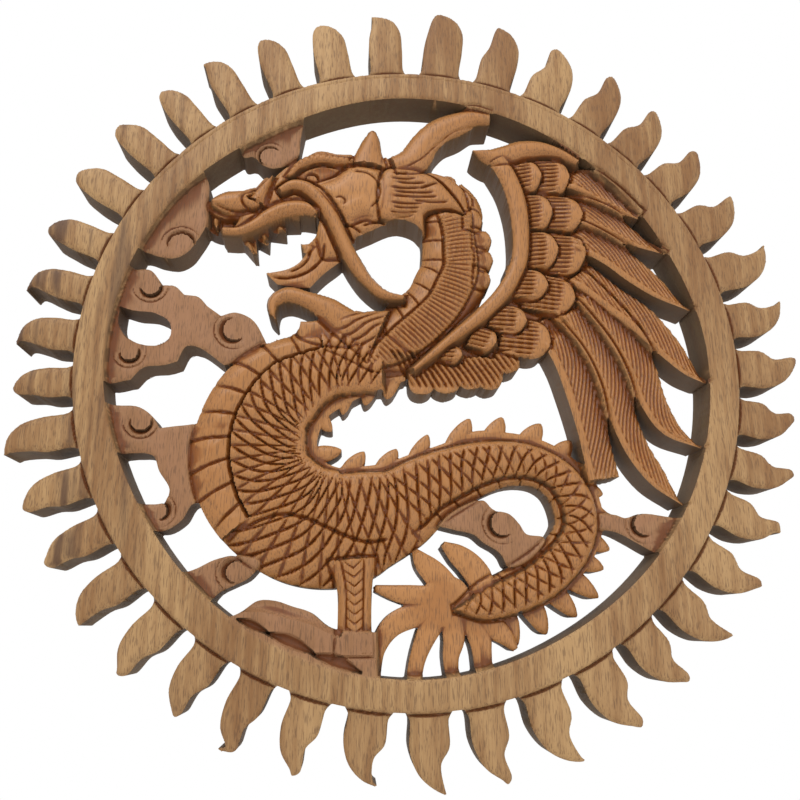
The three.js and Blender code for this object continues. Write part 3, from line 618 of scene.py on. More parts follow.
def body_section(share):
    """The scaled back is one dome, highest a little inside the bend."""
    return LEVEL["body"] - (LEVEL["body"] - LEVEL["body edge"]) * np.abs((share - 0.2) / 1.2) ** 2.4


def belly_section(share):
    """Each belly plate falls away to the outside of the bend."""
    return LEVEL["belly"] + 0.05 - 0.2 * np.clip(-share, 0, 1) ** 1.6 - 0.02 * share


def scale_marks(sizes):
    """A net of slanting gouge strokes leaves long leaf-shaped scales, each tilted a little."""
    pitch, cut = sizes.scale_pitch / MM, sizes.scale_cut / MM

    def marks(near, share):
        wander = 0.4 * np.sin(near.along / 5.3 + 3 * share)
        lean = SCALE_LEAN * (1 - step_up(near.along, *SCALE_STRAIGHTENS))
        slope = pitch / (8 + 0.38 * near.half)
        leaning = near.along - near.across * (lean - slope) + wander
        crossing = near.along - near.across * (lean + slope) - wander
        net = np.maximum(notch(to_nearest(leaning, pitch), 2.3, cut),
                         notch(to_nearest(crossing, pitch), 2.6, cut * 1.2))
        tilt = SCALE_TILT * ((crossing / pitch) % 1)
        crowded = step_up(share, *SCALE_FAINT)
        return (net + tilt) * (1 - 0.75 * crowded)

    return marks


def body_marks(sizes):
    scales = scale_marks(sizes)

    def marks(near, share):
        tail = step_up(near.along, TAIL_BELLY_START, TAIL_BELLY_START + 8)
        on_belly = step_up(-share, TAIL_BELLY_SHARE - 0.02, TAIL_BELLY_SHARE + 0.02) * tail
        seam = notch((-share - TAIL_BELLY_SHARE) * near.half, 3.0, 2.2) * tail
        plate = notch(to_nearest(near.along + near.across * 0.25, BELLY_PITCH), 2.0, 1.4)
        return on_belly * (plate + 1.6) + (1 - on_belly) * scales(near, share) + seam

    return marks


def belly_marks(near, share):
    """Cross cuts part the plates, and a deep groove parts them from the scales."""
    slant = near.along + 0.25 * near.across
    return (notch(to_nearest(slant, BELLY_PITCH), 2.6, 1.5)
            + notch((share - 1) * near.half, 4.0, 2.6))


def neck_marks(sizes):
    """Close ribs down the middle, a smooth banded throat inside and a plain strip outside."""
    pitch = sizes.rib_pitch / MM

    def marks(near, share):
        slant = near.along + near.across * 0.12
        ribs = ripple(slant, pitch, RIB_DEPTH)
        throat = step_up(-share, 0.34, 0.4)
        strip = step_up(share, 0.62, 0.68)
        bands = notch(to_nearest(near.along - near.across * 0.3, BAND_PITCH), *BAND_CUT)
        seams = (notch((-share - THROAT_SHARE) * near.half, 2.4, 1.8)
                 + notch((share - STRIP_SHARE) * near.half, 2.0, 1.4))
        plain = throat * (bands + 1.2) + strip * 1.6
        clear = step_up(near.along, *NECK_EMERGES)
        return (ribs * (1 - throat) * (1 - strip) + plain + seams) * clear + NECK_SUNK * (1 - clear)

    return marks


def carve_body(relief, sizes):
    relief.stroke(BODY, body_section, FIGURE, body_marks(sizes))
    relief.stroke(BELLY, belly_section, FIGURE, belly_marks, instead=True)
    relief.stroke(NECK, domed(LEVEL["body"], LEVEL["body"] - LEVEL["body edge"]), FIGURE,
                  neck_marks(sizes), cut=0.6)
    relief.cut_line(THIGH_LINE, *CUT["thigh"])
    relief.cut_line(CHEST_LINE, *CUT["chest"])
    relief.cut_line(SHOULDER_LINE, *CUT["shoulder"])


# Fins stand along the spine: base, tip and width at the base; a width below zero turns the
# fin's hook the other way
FINS = [(-11, -6, -13, -18.7, -15), (-21, -10, -24, -22, -13), (-33, -15, -35, -27, -11),
        (-47, -28, -40, -35.5, 12), (-49, -48, -35, -45, 14), (-32, -57, -24, -45.5, 15),
        (-15.5, -56, -8, -44, 15), (0.5, -52, 7.5, -36.5, 15), (20, -45, 28.5, -28, 18),
        (38, -42, 45, -27, 18), (56, -42, 64.5, -30, 18), (71, -49, 79, -38.5, 17),
        (80, -61, 94, -65.5, 16), (85, -75, 96.5, -77, 17), (84, -87, 95.5, -92.5, 14),
        (80, -97, 92, -101.5, 14), (75, -105, 88.5, -115, 15), (67, -112, 77.5, -124, 15),
        (56, -118, 62.5, -132, 16), (44, -122, 48.5, -137, 14)]
# One fin, as shares of its height and of its half width: a long flank, then a steep one
FIN_SHAPE = [(-0.3, 0.95, 1), (0.05, 0.64), (0.4, 0.6), (0.8, 0.34), (1, 0), (0.85, -0.32),
             (0.6, -0.52), (-0.3, -1, 1)]
# The fins rise from one low band along the edge of the body
FIN_BAND = [
    (-4, -7, 4), (-14, -9.5, 6), (-24, -12.5, 8), (-34, -18.5, 7), (-44, -26, 6), (-50, -35, 8),
    (-51.5, -45, 9), (-47, -53, 8), (-36, -57, 6), (-24, -56.5, 7), (-12, -55, 8), (0, -50.5, 8),
    (12, -46.5, 8), (22, -44.5, 12), (32, -41, 13), (46, -40.5, 11), (60, -42, 9), (73, -47, 7),
    (82, -56, 8), (87, -66, 8), (89, -77, 8), (87, -87, 8), (82, -97, 8), (74, -106, 8),
    (63, -114, 8), (50, -119, 8)]


def fin_outline(base_x, base_z, tip_x, tip_z, width):
    axis = np.array([tip_x - base_x, tip_z - base_z])
    side = np.array([-axis[1], axis[0]]) / np.hypot(*axis) * width / 2
    base = np.array([base_x, base_z])
    return [tuple(base + axis * along + side * across) + tuple(corner)
            for along, across, *corner in FIN_SHAPE]


def carve_fins(relief):
    relief.stroke(FIN_BAND, domed(LEVEL["fin"], 0), PALE_FIGURE, cut=0)
    for fin in FINS:
        window, depth = relief.within(fin_outline(*fin))
        height = crowned(relief.thickness * LEVEL["fin"], depth, *FIN_CROWN)
        relief.raise_form(window, depth, height, PALE_FIGURE, cut=0)


# The tail ends over a fan of pointed lobes
FAN_LOBES = [
    [(14, -90.5, 3), (20.5, -95, 9.5), (27, -100.5, 12), (31.5, -107, 12.5), (32.5, -113, 12)],
    [(0.5, -93.5, 3), (4.5, -99, 9), (10.5, -105, 12), (17, -113, 13)],
    [(-18.5, -111, 3), (-10, -113, 7), (-1, -114.5, 10), (10, -116, 12)],
    [(-18, -150, 5), (-16.5, -138, 7), (-10, -128, 10), (6, -121, 12)],
    [(-0.5, -153, 7), (1.5, -143, 7.5), (4.5, -135, 9), (10, -124, 12)],
    [(17.5, -152, 6), (17, -142, 7.5), (18.5, -134, 10), (18, -120, 12)],
    [(32, -151, 8), (31.5, -140, 9), (30.5, -133, 11), (24, -118, 12)],
    [(47, -138.5, 3), (42.5, -133, 8), (35.5, -127, 12), (28, -118, 12)],
]
FAN_HEART = (15, -117, 12)


def carve_fan(relief):
    for lobe in FAN_LOBES:
        relief.stroke(lobe, domed(LEVEL["fan"], 0.03), PALE_FIGURE, cut=0)
    relief.disc(*FAN_HEART, LEVEL["fan"], PALE_FIGURE, cut=0)


LEG = [(-29, -98, 22), (-27.8, -111, 16.5), (-27.6, -126, 15.5), (-27.5, -141, 17)]
ARM = [(-18, 13, 30), (-33, 19, 17), (-44, 27, 13), (-55, 32, 9), (-64, 34, 9), (-70.5, 30, 7),
       (-71, 24, 4.5), (-69, 19, 1)]
ARM_WEB = [(-57, 12), (-57, 20, 1), (-50, 20.5), (-44, 25), (-30, 20), (-30, 8)]


def carve_limbs(relief, sizes):
    """The leg stands on the rock, and the arm reaches left and hooks down."""
    def leg_marks(near, share):
        bands = notch(to_nearest(near.along + np.abs(near.across) * 0.8, 4.2), 1.6, 0.9)
        return bands * step_up(0.5 - np.abs(share), 0, 0.1) + notch(
            (np.abs(share) - 0.5) * near.half, 1.8, 1.2)

    def arm_marks(near, share):
        shoulder = 1 - step_up(near.along, 15, 22)
        slant = 0.78 * near.along - 0.6 * near.across + 0.6 * np.sin(near.across / 2.5)
        return shoulder * notch(to_nearest(slant, 3.8), 2.4, 1.4)

    relief.stroke(LEG, domed(LEVEL["leg"], STEEP_FALL), FIGURE, leg_marks)
    relief.plate(ARM_WEB, LEVEL["skull"], FIGURE)
    relief.stroke(ARM, domed(LEVEL["body"], STEEP_FALL), FIGURE, arm_marks)


# Wing
WING_BASE = [(42, 117), (52, 124), (68, 126), (84, 118), (100, 99), (94, 60), (88, 30), (75, 9),
             (60, 5.5), (48, 2), (20, -6), (0, -8), (-12, -7), (-4, 0), (10, 8), (27, 24),
             (38, 31), (48, 43), (53, 57), (54.5, 75), (51, 98)]
WING_ARM = [(46, 115, 10), (52, 103, 10), (56, 88, 10), (57, 72, 9), (56, 58, 8.5),
            (51.5, 46, 8), (44.5, 35.5, 7.5), (36, 26.5, 7), (27.5, 19, 6), (18, 11, 5),
            (9, 3, 4), (0, -5, 3)]
WING_TOP = [(32.5, 119.5, 2), (37, 118.5, 7), (44, 117.5, 11), (52, 119.5, 12), (60, 122.5, 12),
            (70, 123.5, 10), (80, 121, 7), (90, 115, 5)]
FLIGHT_FEATHERS = [
    [(78, 112, 14), (94, 104, 16), (108, 94, 13), (122, 84, 5)],
    [(80, 90, 17), (93, 86, 16), (105.5, 80.5, 15), (120, 71, 11), (134, 62.5, 1.5)],
    [(78, 76, 17), (92, 70, 17), (106, 62, 17), (118, 52.5, 17), (130, 42.5, 13),
     (145, 30.5, 1.5)],
    [(80, 56, 17), (92, 48, 17), (105, 37, 17), (119, 26, 18), (132.5, 10.5, 16),
     (141.5, -1, 10), (149, -8.5, 2)],
    [(84, 48, 16), (97, 33, 17), (108, 17, 18), (116.5, 0, 18), (122, -19, 16),
     (128.5, -31, 13), (143.5, -42.5, 1.5)],
    [(74, 38, 14), (86, 22, 15), (96, 6, 16), (102, -10, 16.5), (106, -28, 15.5),
     (112, -44, 14.5), (120.5, -57.5, 12), (131.5, -71, 1.5)],
    [(66, 24, 14), (73, 14, 16), (80, 2, 18), (85.5, -14, 19), (89.5, -34, 17), (92, -48, 17),
     (94, -58.5, 17)],
]
# Coverts overlap like tiles: inner end, outer end and width
OUTER_COVERTS = [(62, 108, 85, 106.5, 23), (66, 87, 91, 84, 21), (66, 64, 91, 60, 23),
                 (60, 42, 84, 35, 21), (46, 17, 70, 11, 21)]
INNER_COVERTS = [(50, 106.5, 69.5, 106.5, 19.5), (54, 86, 74.5, 85, 21), (55, 64, 76.5, 63, 21),
                 (48, 46, 70, 42, 17), (40, 26, 58, 22, 15), (30, 15.5, 42, 10, 12.5),
                 (13, 6, 24.5, 3, 9.5)]
COVERT_TUCK = 2.4
# A feather's rib ends at this share across; its barbs and the dip of its root under the coverts
RIB_SHARE, BARB_DEPTH = 0.6, 0.8
ROOT_EMERGES, ROOT_SUNK = (5, 14), 3.4
WING_FRINGE = [(48, 7, 49, -4.5, 12), (40, 3, 37.5, -13.5, 14), (28, 3, 30, -13.5, 15),
               (16, 1, 17, -16, 15), (4, -1, 4.5, -17, 13)]
# Slanting cuts over the whole fringe: first, last and step
FRINGE_CUTS = (-12, 56, 3.3)
FRINGE_CUT = [(0, 6), (4, 0), (9, -7), (13, -14)]


def lobe_line(inner_x, inner_z, outer_x, outer_z, width):
    def spot(along, share):
        return (inner_x + (outer_x - inner_x) * along, inner_z + (outer_z - inner_z) * along,
                width * share)
    return [spot(0, 0.96), spot(0.4, 1), spot(0.7, 0.97), spot(0.87, 0.78), spot(0.96, 0.48),
            spot(1, 0.2)]


def feather_marks(sizes):
    """A smooth rib along the lower edge; the rest is combed with slanting shallow cuts."""
    pitch = sizes.barb_pitch / MM

    def marks(near, share):
        vane = step_up(share + 0.62, 0, 0.1)
        slant = near.across + 0.48 * near.along + 0.4 * np.sin(near.along / 6)
        barbs = ripple(slant, pitch, BARB_DEPTH)
        under_coverts = ROOT_SUNK * (1 - step_up(near.along, *ROOT_EMERGES))
        return (vane * (barbs + 0.4) + notch((share + RIB_SHARE) * near.half, 1.8, 0.7)
                + under_coverts)

    return marks


def comb_marks(sizes, length):
    """Short cuts across the inner part of a covert leave a smooth rim."""
    pitch = sizes.comb_pitch / MM

    def marks(near, share):
        comb = notch(to_nearest(near.across - near.along * 0.12, pitch), 2.0, 1.5)
        tuck = COVERT_TUCK * np.clip(1 - near.along / length, 0, 1)
        return comb * (1 - step_up(near.along, length * 0.6, length * 0.8)) + tuck

    return marks


def carve_coverts(relief, sizes, coverts, level):
    for covert in coverts:
        length = math.hypot(covert[2] - covert[0], covert[3] - covert[1])
        relief.stroke(lobe_line(*covert), domed(level, GENTLE_FALL), FIGURE,
                      comb_marks(sizes, length), cut=1.4)


def carve_wing(relief, sizes):
    relief.plate(WING_BASE, LEVEL["wing base"], FIGURE, cut=0)
    for lobe in WING_FRINGE:
        relief.stroke(lobe_line(*lobe), domed(LEVEL["fringe"], 0.02), FIGURE, cut=0)
    for x in np.arange(*FRINGE_CUTS):
        relief.cut_line([(x + right, z) for right, z in FRINGE_CUT], *CUT["fringe"])
    for feather in FLIGHT_FEATHERS:
        relief.stroke(feather, feathered, FIGURE, feather_marks(sizes), cut=1.6)
    carve_coverts(relief, sizes, OUTER_COVERTS, LEVEL["outer covert"])
    carve_coverts(relief, sizes, INNER_COVERTS, LEVEL["inner covert"])
    relief.stroke(WING_ARM, domed(LEVEL["wing arm"], GENTLE_FALL), FIGURE, cut=1.4)
    relief.stroke(WING_TOP, domed(LEVEL["wing top"], STEEP_FALL), FIGURE)


# Head
SKULL = [(-74, 101, 1), (-67, 108), (-59.5, 114, 1), (-50, 118.5), (-40, 117), (-28, 117),
         (-13, 116), (0, 109), (10, 107.5), (19, 105), (27, 98), (30, 85, 1), (24, 83), (15, 85),
         (5, 81.5), (5, 71, 1), (-1, 77), (-10, 77.5), (-22, 72), (-33, 66), (-36, 62),
         (-37, 56, 1), (-46, 56), (-48, 61), (-50, 69), (-49, 78, 1), (-60, 79.5), (-72, 77),
         (-80, 70.5), (-88, 66.5), (-97, 66), (-100, 68.5), (-93, 72, 1), (-91, 77), (-99, 78),
         (-106, 81.5), (-106, 87), (-99, 92.5), (-89, 94), (-83, 95.5, 1), (-77.5, 101.5)]
SNOUT_BED = [(-109, 86), (-109, 74), (-103, 70), (-95, 70), (-80, 76), (-80, 92), (-98, 91)]
LOWER_JAW = [(-48, 77), (-50.5, 69.5), (-53, 65), (-58, 63.5, 1), (-56, 58.5), (-58, 54),
             (-64, 49.5), (-75.5, 46.5, 1), (-69.5, 40.5, 1), (-58, 39), (-53, 39, 1), (-46, 47),
             (-37, 55), (-33, 61), (-30, 69), (-38, 77)]
TEETH = [(-97, 76, 1), (-94, 71, 1), (-87.5, 64.5, 1), (-81, 57, 1), (-82, 67.5, 1),
         (-75.5, 64, 1), (-75.5, 72, 1), (-66.5, 71, 1), (-67, 76.5, 1), (-59.5, 77, 1),
         (-59, 80, 1), (-49, 80, 1), (-48, 85, 1), (-70, 86, 1), (-90, 78, 1)]
WHISKER = [(-70, 92, 5), (-63, 96, 7), (-56, 94.5, 8), (-50, 89, 8), (-43, 79, 8), (-38, 68, 8),
           (-34, 59, 8), (-29, 50, 8), (-23.5, 42, 7), (-15, 35, 6), (-5, 33, 4)]
UPPER_LIP = [(-98.5, 68, 5.5), (-90, 68.3, 6), (-82, 72.5, 7), (-75, 78, 8.5), (-67, 82, 9.5),
             (-58, 83, 9), (-50, 80.5, 6)]
LIP_LINE = [(-104, 83.5), (-98, 81), (-91, 79.8), (-84, 81.5)]
LONG_HORN = [(-10, 110, 12), (0.5, 114, 17), (7, 124.5, 15.5), (14.5, 132.5, 15), (23.5, 137, 14.5),
             (32.5, 141, 11), (42.5, 140.5, 7)]
SMALL_HORN = [(-24, 110, 19), (-23, 119, 13), (-22, 125.5, 9), (-21.7, 129.5, 4.5)]
NOSE_HORN = [(-82, 86, 10), (-78, 94, 6), (-74, 100.5, 1.5)]
MANE = [(-15, 106), (-3, 107.5), (5, 105.5), (10, 103.5), (15, 99.5), (20, 93.5), (24, 88),
        (27, 82.5, 1), (20, 84.5), (13, 84.3), (8, 83), (5.5, 80.5, 1), (5.3, 71, 1), (2, 74.5),
        (-3, 77), (-9, 78), (-16, 78)]
NECK_SCALLOPS = [(12, 101, 24.5, 101.5, 13), (21, 92, 32, 92, 13), (27, 80, 37.5, 80, 13),
                 (32, 69, 42, 69, 13), (33, 58, 42.5, 57.5, 12), (32, 47, 41, 46.5, 11)]
CHEEK = [(-35, 108.5), (-41, 102.5), (-48, 99), (-56, 96.5, 1), (-50, 88), (-42, 80), (-34, 75),
         (-25, 78), (-18, 78), (-12.5, 83), (-10.5, 92), (-12.5, 101), (-19, 108), (-27, 110)]
EYELID = [(-65, 97, 1), (-60, 104), (-54, 107.5), (-47, 109), (-41, 107.5), (-35, 106.5, 1),
          (-40, 102), (-47, 99.5), (-58, 97)]
UPPER_LID = [(-66, 96), (-60.5, 104), (-54, 108), (-47, 109.5), (-41, 108), (-34, 106.5)]
EYELID_DEPTH = 1.6
IRIS = (-53.8, 100.2, 3.2)
# The gouge over the iris: its bearing, width and depth
IRIS_GOUGE = (80, 2.0, 2.2)
SAW_PITCH, SAW_CUT = 3.1, (1.6, 1.0)
LIP_HATCH_PITCH, LIP_HATCH_CUT = 1.9, (1.3, 0.6)
BROW = [(-66, 101, 3), (-60, 108.8, 5), (-51, 113, 6), (-42, 112.3, 5), (-32, 111.5, 4)]
NOSE = [(-104.5, 84, 5), (-98, 85, 12), (-90, 86, 13), (-80, 87, 10)]
NOSTRIL = (-84, 86.5, 4.5)
NOSTRIL_HOLLOW = [(-86.5, 87, 4), (-84, 88, 4.4), (-81.5, 87, 4)]
NOSTRIL_DEPTH = 4.0
# The bed of the teeth lies lower than their level and each tooth rises above it, in shares
TOOTH_BED_DROP = 0.06
TOOTH_RISE = 0.02
TOOTH_FALL = 0.1
TUSKS = [[(-103, 79, 4), (-103, 75, 3), (-102, 71, 0.8)],
         [(-91, 78, 4), (-91, 75, 3), (-91.5, 71.5, 0.8)]]
TOOTH_CONES = [
    [(-91, 70, 5), (-87, 66, 4), (-84, 61, 2), (-82, 58, 0.8)],
    [(-81, 74, 5), (-78.5, 70, 4), (-76.5, 66, 1)],
    [(-72, 77, 5), (-70, 74, 4), (-67.5, 72, 1)],
    [(-62, 80, 5), (-60.5, 78.5, 3), (-59.5, 77.5, 1)],
    [(-54, 60, 5), (-56.5, 62, 4), (-58, 63.5, 1)],
]
CHEEK_CURL = [(-32, 105), (-24, 103.5), (-18.5, 98), (-18, 90), (-22.5, 83)]
CHEEK_COMMA = [(-42, 88), (-38, 89), (-35.5, 86.5), (-37.5, 84)]
# Nearly level cuts through the mane: height at the left, left end and right end
MANE_CUTS = [(104.5, -12, -2), (101, -12, 2), (98.5, -9, 7), (95.5, -12, 4), (93, -10, 11),
             (90.5, -11, 13), (88, 0, 19), (86.5, -12, 6), (84, -11, 4), (81.5, -13, 3),
             (79.5, -12, 1)]
MANE_CUT_SAG = 0.6
MANE_PARTING = [(3, 95), (8, 96.8), (14, 100)]
JAW_CUTS = [[(-45, 72), (-38, 70), (-32, 66)], [(-42, 76), (-33, 74), (-26, 70)],
            [(-73, 44.8), (-66, 44), (-59, 45.5), (-52, 49.5), (-47, 56), (-46, 64)],
            [(-64, 47.5), (-59, 50), (-55, 54), (-53, 60)],
            [(-27, 74), (-20, 76.5), (-13, 77)]]
HORN_CUT = [(-4, 108), (5, 114), (13, 123), (22, 131), (34, 136)]
HORN_PIT = (8, 123, 1.6)
HORN_PIT_LEVEL = 0.5


def carve_face(relief):
    relief.plate(SNOUT_BED, LEVEL["snout bed"], FIGURE, cut=0)
    relief.plate(TEETH, LEVEL["teeth"] - TOOTH_BED_DROP, FIGURE, cut=0)
    relief.plate(LOWER_JAW, LEVEL["lower jaw"], FIGURE, cut=0)
    for tooth in TOOTH_CONES + TUSKS:
        relief.stroke(tooth, domed(LEVEL["teeth"] + TOOTH_RISE, TOOTH_FALL), PALE_FIGURE)
    relief.plate(SKULL, LEVEL["skull"], FIGURE, rounding=1.5)
    relief.plate(CHEEK, LEVEL["head high"], PALE_FIGURE, cut=1.2, rounding=4.0, reach=9)
    relief.recess(EYELID, EYELID_DEPTH)
    relief.cut_line(UPPER_LID, *CUT["eyelid"])
    relief.crescent(*IRIS, *IRIS_GOUGE)
    relief.stroke(BROW, domed(LEVEL["lock"], GENTLE_FALL), FIGURE, brow_marks)
    relief.stroke(NOSE, domed(LEVEL["head high"], STEEP_FALL), FIGURE)
    relief.cut_line(LIP_LINE, *CUT["lip"])
    relief.stroke(UPPER_LIP, domed(LEVEL["head high"], STEEP_FALL), FIGURE, lip_marks)
    relief.disc(*NOSTRIL, LEVEL["head high"], FIGURE, dome=0.8, cut=1.4)
    relief.scoop(NOSTRIL_HOLLOW, NOSTRIL_DEPTH)


def lip_marks(near, share):
    """The lower half of the lip is finely hatched, but for its smooth tip."""
    hatch = notch(to_nearest(near.along - 0.4 * near.across, LIP_HATCH_PITCH), *LIP_HATCH_CUT)
    return hatch * step_up(-share, 0, 0.2) * step_up(near.along, 18, 24)


def brow_marks(near, share):
    """The brow is notched like a saw."""
    return notch(to_nearest(near.along, SAW_PITCH), *SAW_CUT) * step_up(share, -0.6, 0.2)


def carve_head(relief):
    for scallop in NECK_SCALLOPS:
        relief.stroke(lobe_line(*scallop), domed(LEVEL["scallop"], GENTLE_FALL), FIGURE)
    carve_face(relief)
    relief.plate(MANE, 1, FIGURE, cut=1.6, rounding=2.0)
    for z, left, right in MANE_CUTS:
        middle = ((left + right) / 2, z - MANE_CUT_SAG)
        relief.cut_line([(left, z), middle, (right, z)], *CUT["mane"])
    for cut in [MANE_PARTING] + JAW_CUTS:
        relief.cut_line(cut, *CUT["jaw"])
    for horn in (SMALL_HORN, NOSE_HORN, LONG_HORN):
        relief.stroke(horn, domed(LEVEL["horn"], STEEP_FALL), FIGURE)
    relief.cut_line(HORN_CUT, *CUT["horn"])
    relief.disc(*HORN_PIT, HORN_PIT_LEVEL, FIGURE, cut=0)
    relief.cut_line(CHEEK_CURL, *CUT["cheek curl"])
    relief.cut_line(CHEEK_COMMA, *CUT["cheek comma"])
    relief.stroke(WHISKER, domed(LEVEL["whisker"], STEEP_FALL), FIGURE, cut=1.8)


def carved_relief(sizes):
    relief = Relief(sizes)
    carve_rays(relief, sizes)
    carve_ring(relief, sizes)
    carve_clouds(relief)
    carve_rock(relief)
    carve_fan(relief)
    carve_fins(relief)
    carve_body(relief, sizes)
    carve_wing(relief, sizes)
    carve_limbs(relief, sizes)
    carve_head(relief)
    relief.height = np.clip(relief.height, LOWEST_RELIEF, relief.thickness - FACE_CLEARANCE)
    return relief


def blurred(field, reach):
    """A field with each point averaged over its surroundings, out to about that many points."""
    for _ in range(3):
        for axis in (0, 1):
            total = np.cumsum(np.pad(field, [(reach + 1, reach) if a == axis else (0, 0)
                                             for a in (0, 1)], mode="edge"), axis=axis)
            low = [slice(None), slice(None)]
            high = [slice(None), slice(None)]
            low[axis] = slice(0, field.shape[axis])
            high[axis] = slice(2 * reach + 1, 2 * reach + 1 + field.shape[axis])
            field = (total[tuple(high)] - total[tuple(low)]) / (2 * reach + 1)
    return field


def surface_fields(relief):
    """What the finish needs to know at each point: how hollow it lies, and which part it is."""
    fine = relief.height - blurred(relief.height, FINE_BLUR)
    broad = relief.height - blurred(relief.height, BROAD_BLUR)
    return {
        # Low on ridges and high in hollows; the finish paints shade into the hollows and a
        # highlight onto the figure's ridges from it
        "hollow": np.clip(0.5 - fine * FINE_WEIGHT - broad * BROAD_WEIGHT, 0, 1),
        "figure": blurred((relief.part >= FIGURE).astype(float), 1),
        "pale_figure": blurred((relief.part == PALE_FIGURE).astype(float), 1),
        "cloud": blurred((relief.part == CLOUD).astype(float), 1),
    }


def centre_drop(sizes):
    """How far the ring's centre lies below the hook, in millimetres."""
    return (sizes.ring_inner_radius + sizes.ring_band_width / 2) / MM


def snapped_corners(relief, kept):
    """The grid's points, with those along the outline moved onto it."""
    inside = relief.inside
    slope_z, slope_x = np.gradient(inside, relief.step)
    steepness = np.maximum(slope_x**2 + slope_z**2, 0.25)
    around = np.pad(kept, 1)
    corners = [around[1:, 1:], around[1:, :-1], around[:-1, 1:], around[:-1, :-1]]
    at_edge = np.any(corners, 0) & ~np.all(corners, 0)
    shift = np.where(at_edge, np.clip(inside, -relief.step, relief.step), 0) / steepness
    x = relief.x - shift * slope_x
    z = relief.z - shift * slope_z
    lift = np.where(at_edge, np.maximum(-inside, 0) * EDGE_DROP, 0)
    height = np.minimum(relief.height + lift, relief.thickness - FACE_CLEARANCE)
    return x, z, height, np.any(corners, 0)


def outline_edges(kept, number):
    """The grid edges where the wood ends, each with the wood on its left seen from the front."""
    padded = np.pad(kept, 1)
    rows, columns = np.nonzero(kept)
    sides = [
        (padded[rows, columns + 1], (0, 0), (0, 1)),
        (padded[rows + 1, columns + 2], (0, 1), (1, 1)),
        (padded[rows + 2, columns + 1], (1, 1), (1, 0)),
        (padded[rows + 1, columns], (1, 0), (0, 0)),
    ]
    edges = []
    for neighbour, start, end in sides:
        bare = ~neighbour
        edges.append(np.stack([
            number[rows[bare] + start[0], columns[bare] + start[1]],
            number[rows[bare] + end[0], columns[bare] + end[1]]], 1))
    return np.vstack(edges)


def back_faces(relief, points, edges):
    """The flat back: triangles between the outlines, on the outlines' own points."""
    _, _, faces, sources, _, _ = delaunay_2d_cdt(
        [tuple(point) for point in points], [tuple(edge) for edge in edges.tolist()], [], 1, 1e-7)
    own = np.array([source[0] if source else -1 for source in sources])
    faces = own[np.array(faces)]
    faces = faces[(faces >= 0).all(1)]
    middles = points[faces].mean(1)
    columns, rows = np.round((middles - relief.axis[0]) / relief.step).astype(int).T
    return faces[relief.inside[rows, columns] > 0].tolist()


def panel_mesh(relief, sizes):
    """The front as a fine mesh, straight walls down to the back, and the back itself."""
    inside = relief.inside
    middle = (inside[1:, 1:] + inside[1:, :-1] + inside[:-1, 1:] + inside[:-1, :-1]) / 4
    kept = middle > 0
    x, z, height, used = snapped_corners(relief, kept)
    number = np.cumsum(used).reshape(used.shape) - 1
    front = np.stack([x[used], -height[used], z[used]], 1)
    rows, columns = np.nonzero(kept)
    quads = np.stack([number[rows, columns], number[rows, columns + 1],
                      number[rows + 1, columns + 1], number[rows + 1, columns]], 1)
    edges = outline_edges(kept, number)
    rim = np.unique(edges)
    below = np.full(len(front), -1)
    below[rim] = len(front) + np.arange(len(rim))
    back = front[rim] * (1, 0, 1)
    walls = np.stack([edges[:, 1], edges[:, 0], below[edges[:, 0]], below[edges[:, 1]]], 1)
    flat = back_faces(relief, back[:, [0, 2]], np.searchsorted(rim, edges))
    flat = [[len(front) + corner for corner in reversed(face)] for face in flat]
    mesh = bpy.data.meshes.new("carved_panel_relief")
    points = (np.vstack([front, back]) - (0, 0, centre_drop(sizes))) * MM
    mesh.from_pydata(points.tolist(), [], quads.tolist() + walls.tolist() + flat)
    mesh.validate()
    return mesh


def thinned_out(piece, most):
    """Lowers the number of triangles, where the surface is plain first."""
    count = sum(len(face.vertices) - 2 for face in piece.data.polygons)
    if count > most:
        fewer = piece.modifiers.new("fewer triangles", "DECIMATE")
        fewer.ratio = most / count
        fewer.use_collapse_triangulate = True
        bpy.context.view_layer.update()
        graph = bpy.context.evaluated_depsgraph_get()
        mesh = bpy.data.meshes.new_from_object(piece.evaluated_get(graph))
        piece.modifiers.clear()
        piece.data = mesh


def flatten_back(piece):
    """Puts the thinned-out back into one plane again, and shades it flat."""
    mesh = piece.data
    for vertex in mesh.vertices:
        if vertex.co.y > -LOWEST_RELIEF / 2 * MM:
            vertex.co.y = 0
    for face in mesh.polygons:
        if all(mesh.vertices[corner].co.y == 0 for corner in face.vertices):
            face.use_smooth = False


def paint_fields(piece, relief, sizes):
    """Stores on each point of the mesh what the finish needs to know about it."""
    mesh = piece.data
    places = np.empty(len(mesh.vertices) * 3)
    mesh.vertices.foreach_get("co", places)
    x, _, z = (places.reshape(-1, 3) / MM).T
    columns, rows = (
        np.clip(np.round((place - relief.axis[0]) / relief.step).astype(int), 0,
                len(relief.axis) - 1) for place in (x, z + centre_drop(sizes)))
    for name, field in surface_fields(relief).items():
        attribute = mesh.attributes.new(name, "FLOAT", "POINT")
        attribute.data.foreach_set("value", field[rows, columns].astype(np.float32))


class Shade:
    """A value in a material that changes over the surface: maths on it adds nodes."""

    def __init__(self, finish, socket):
        self.finish = finish
        self.socket = socket

    def _maths(self, operation, first, second):
        return self.finish.node("ShaderNodeMath", {"operation": operation}, {0: first, 1: second})

    def __add__(self, other):
        return self._maths("ADD", self, other)

    def __sub__(self, other):
        return self._maths("SUBTRACT", self, other)

    def __rsub__(self, other):
        return self._maths("SUBTRACT", other, self)

    def __mul__(self, other):
        return self._maths("MULTIPLY", self, other)


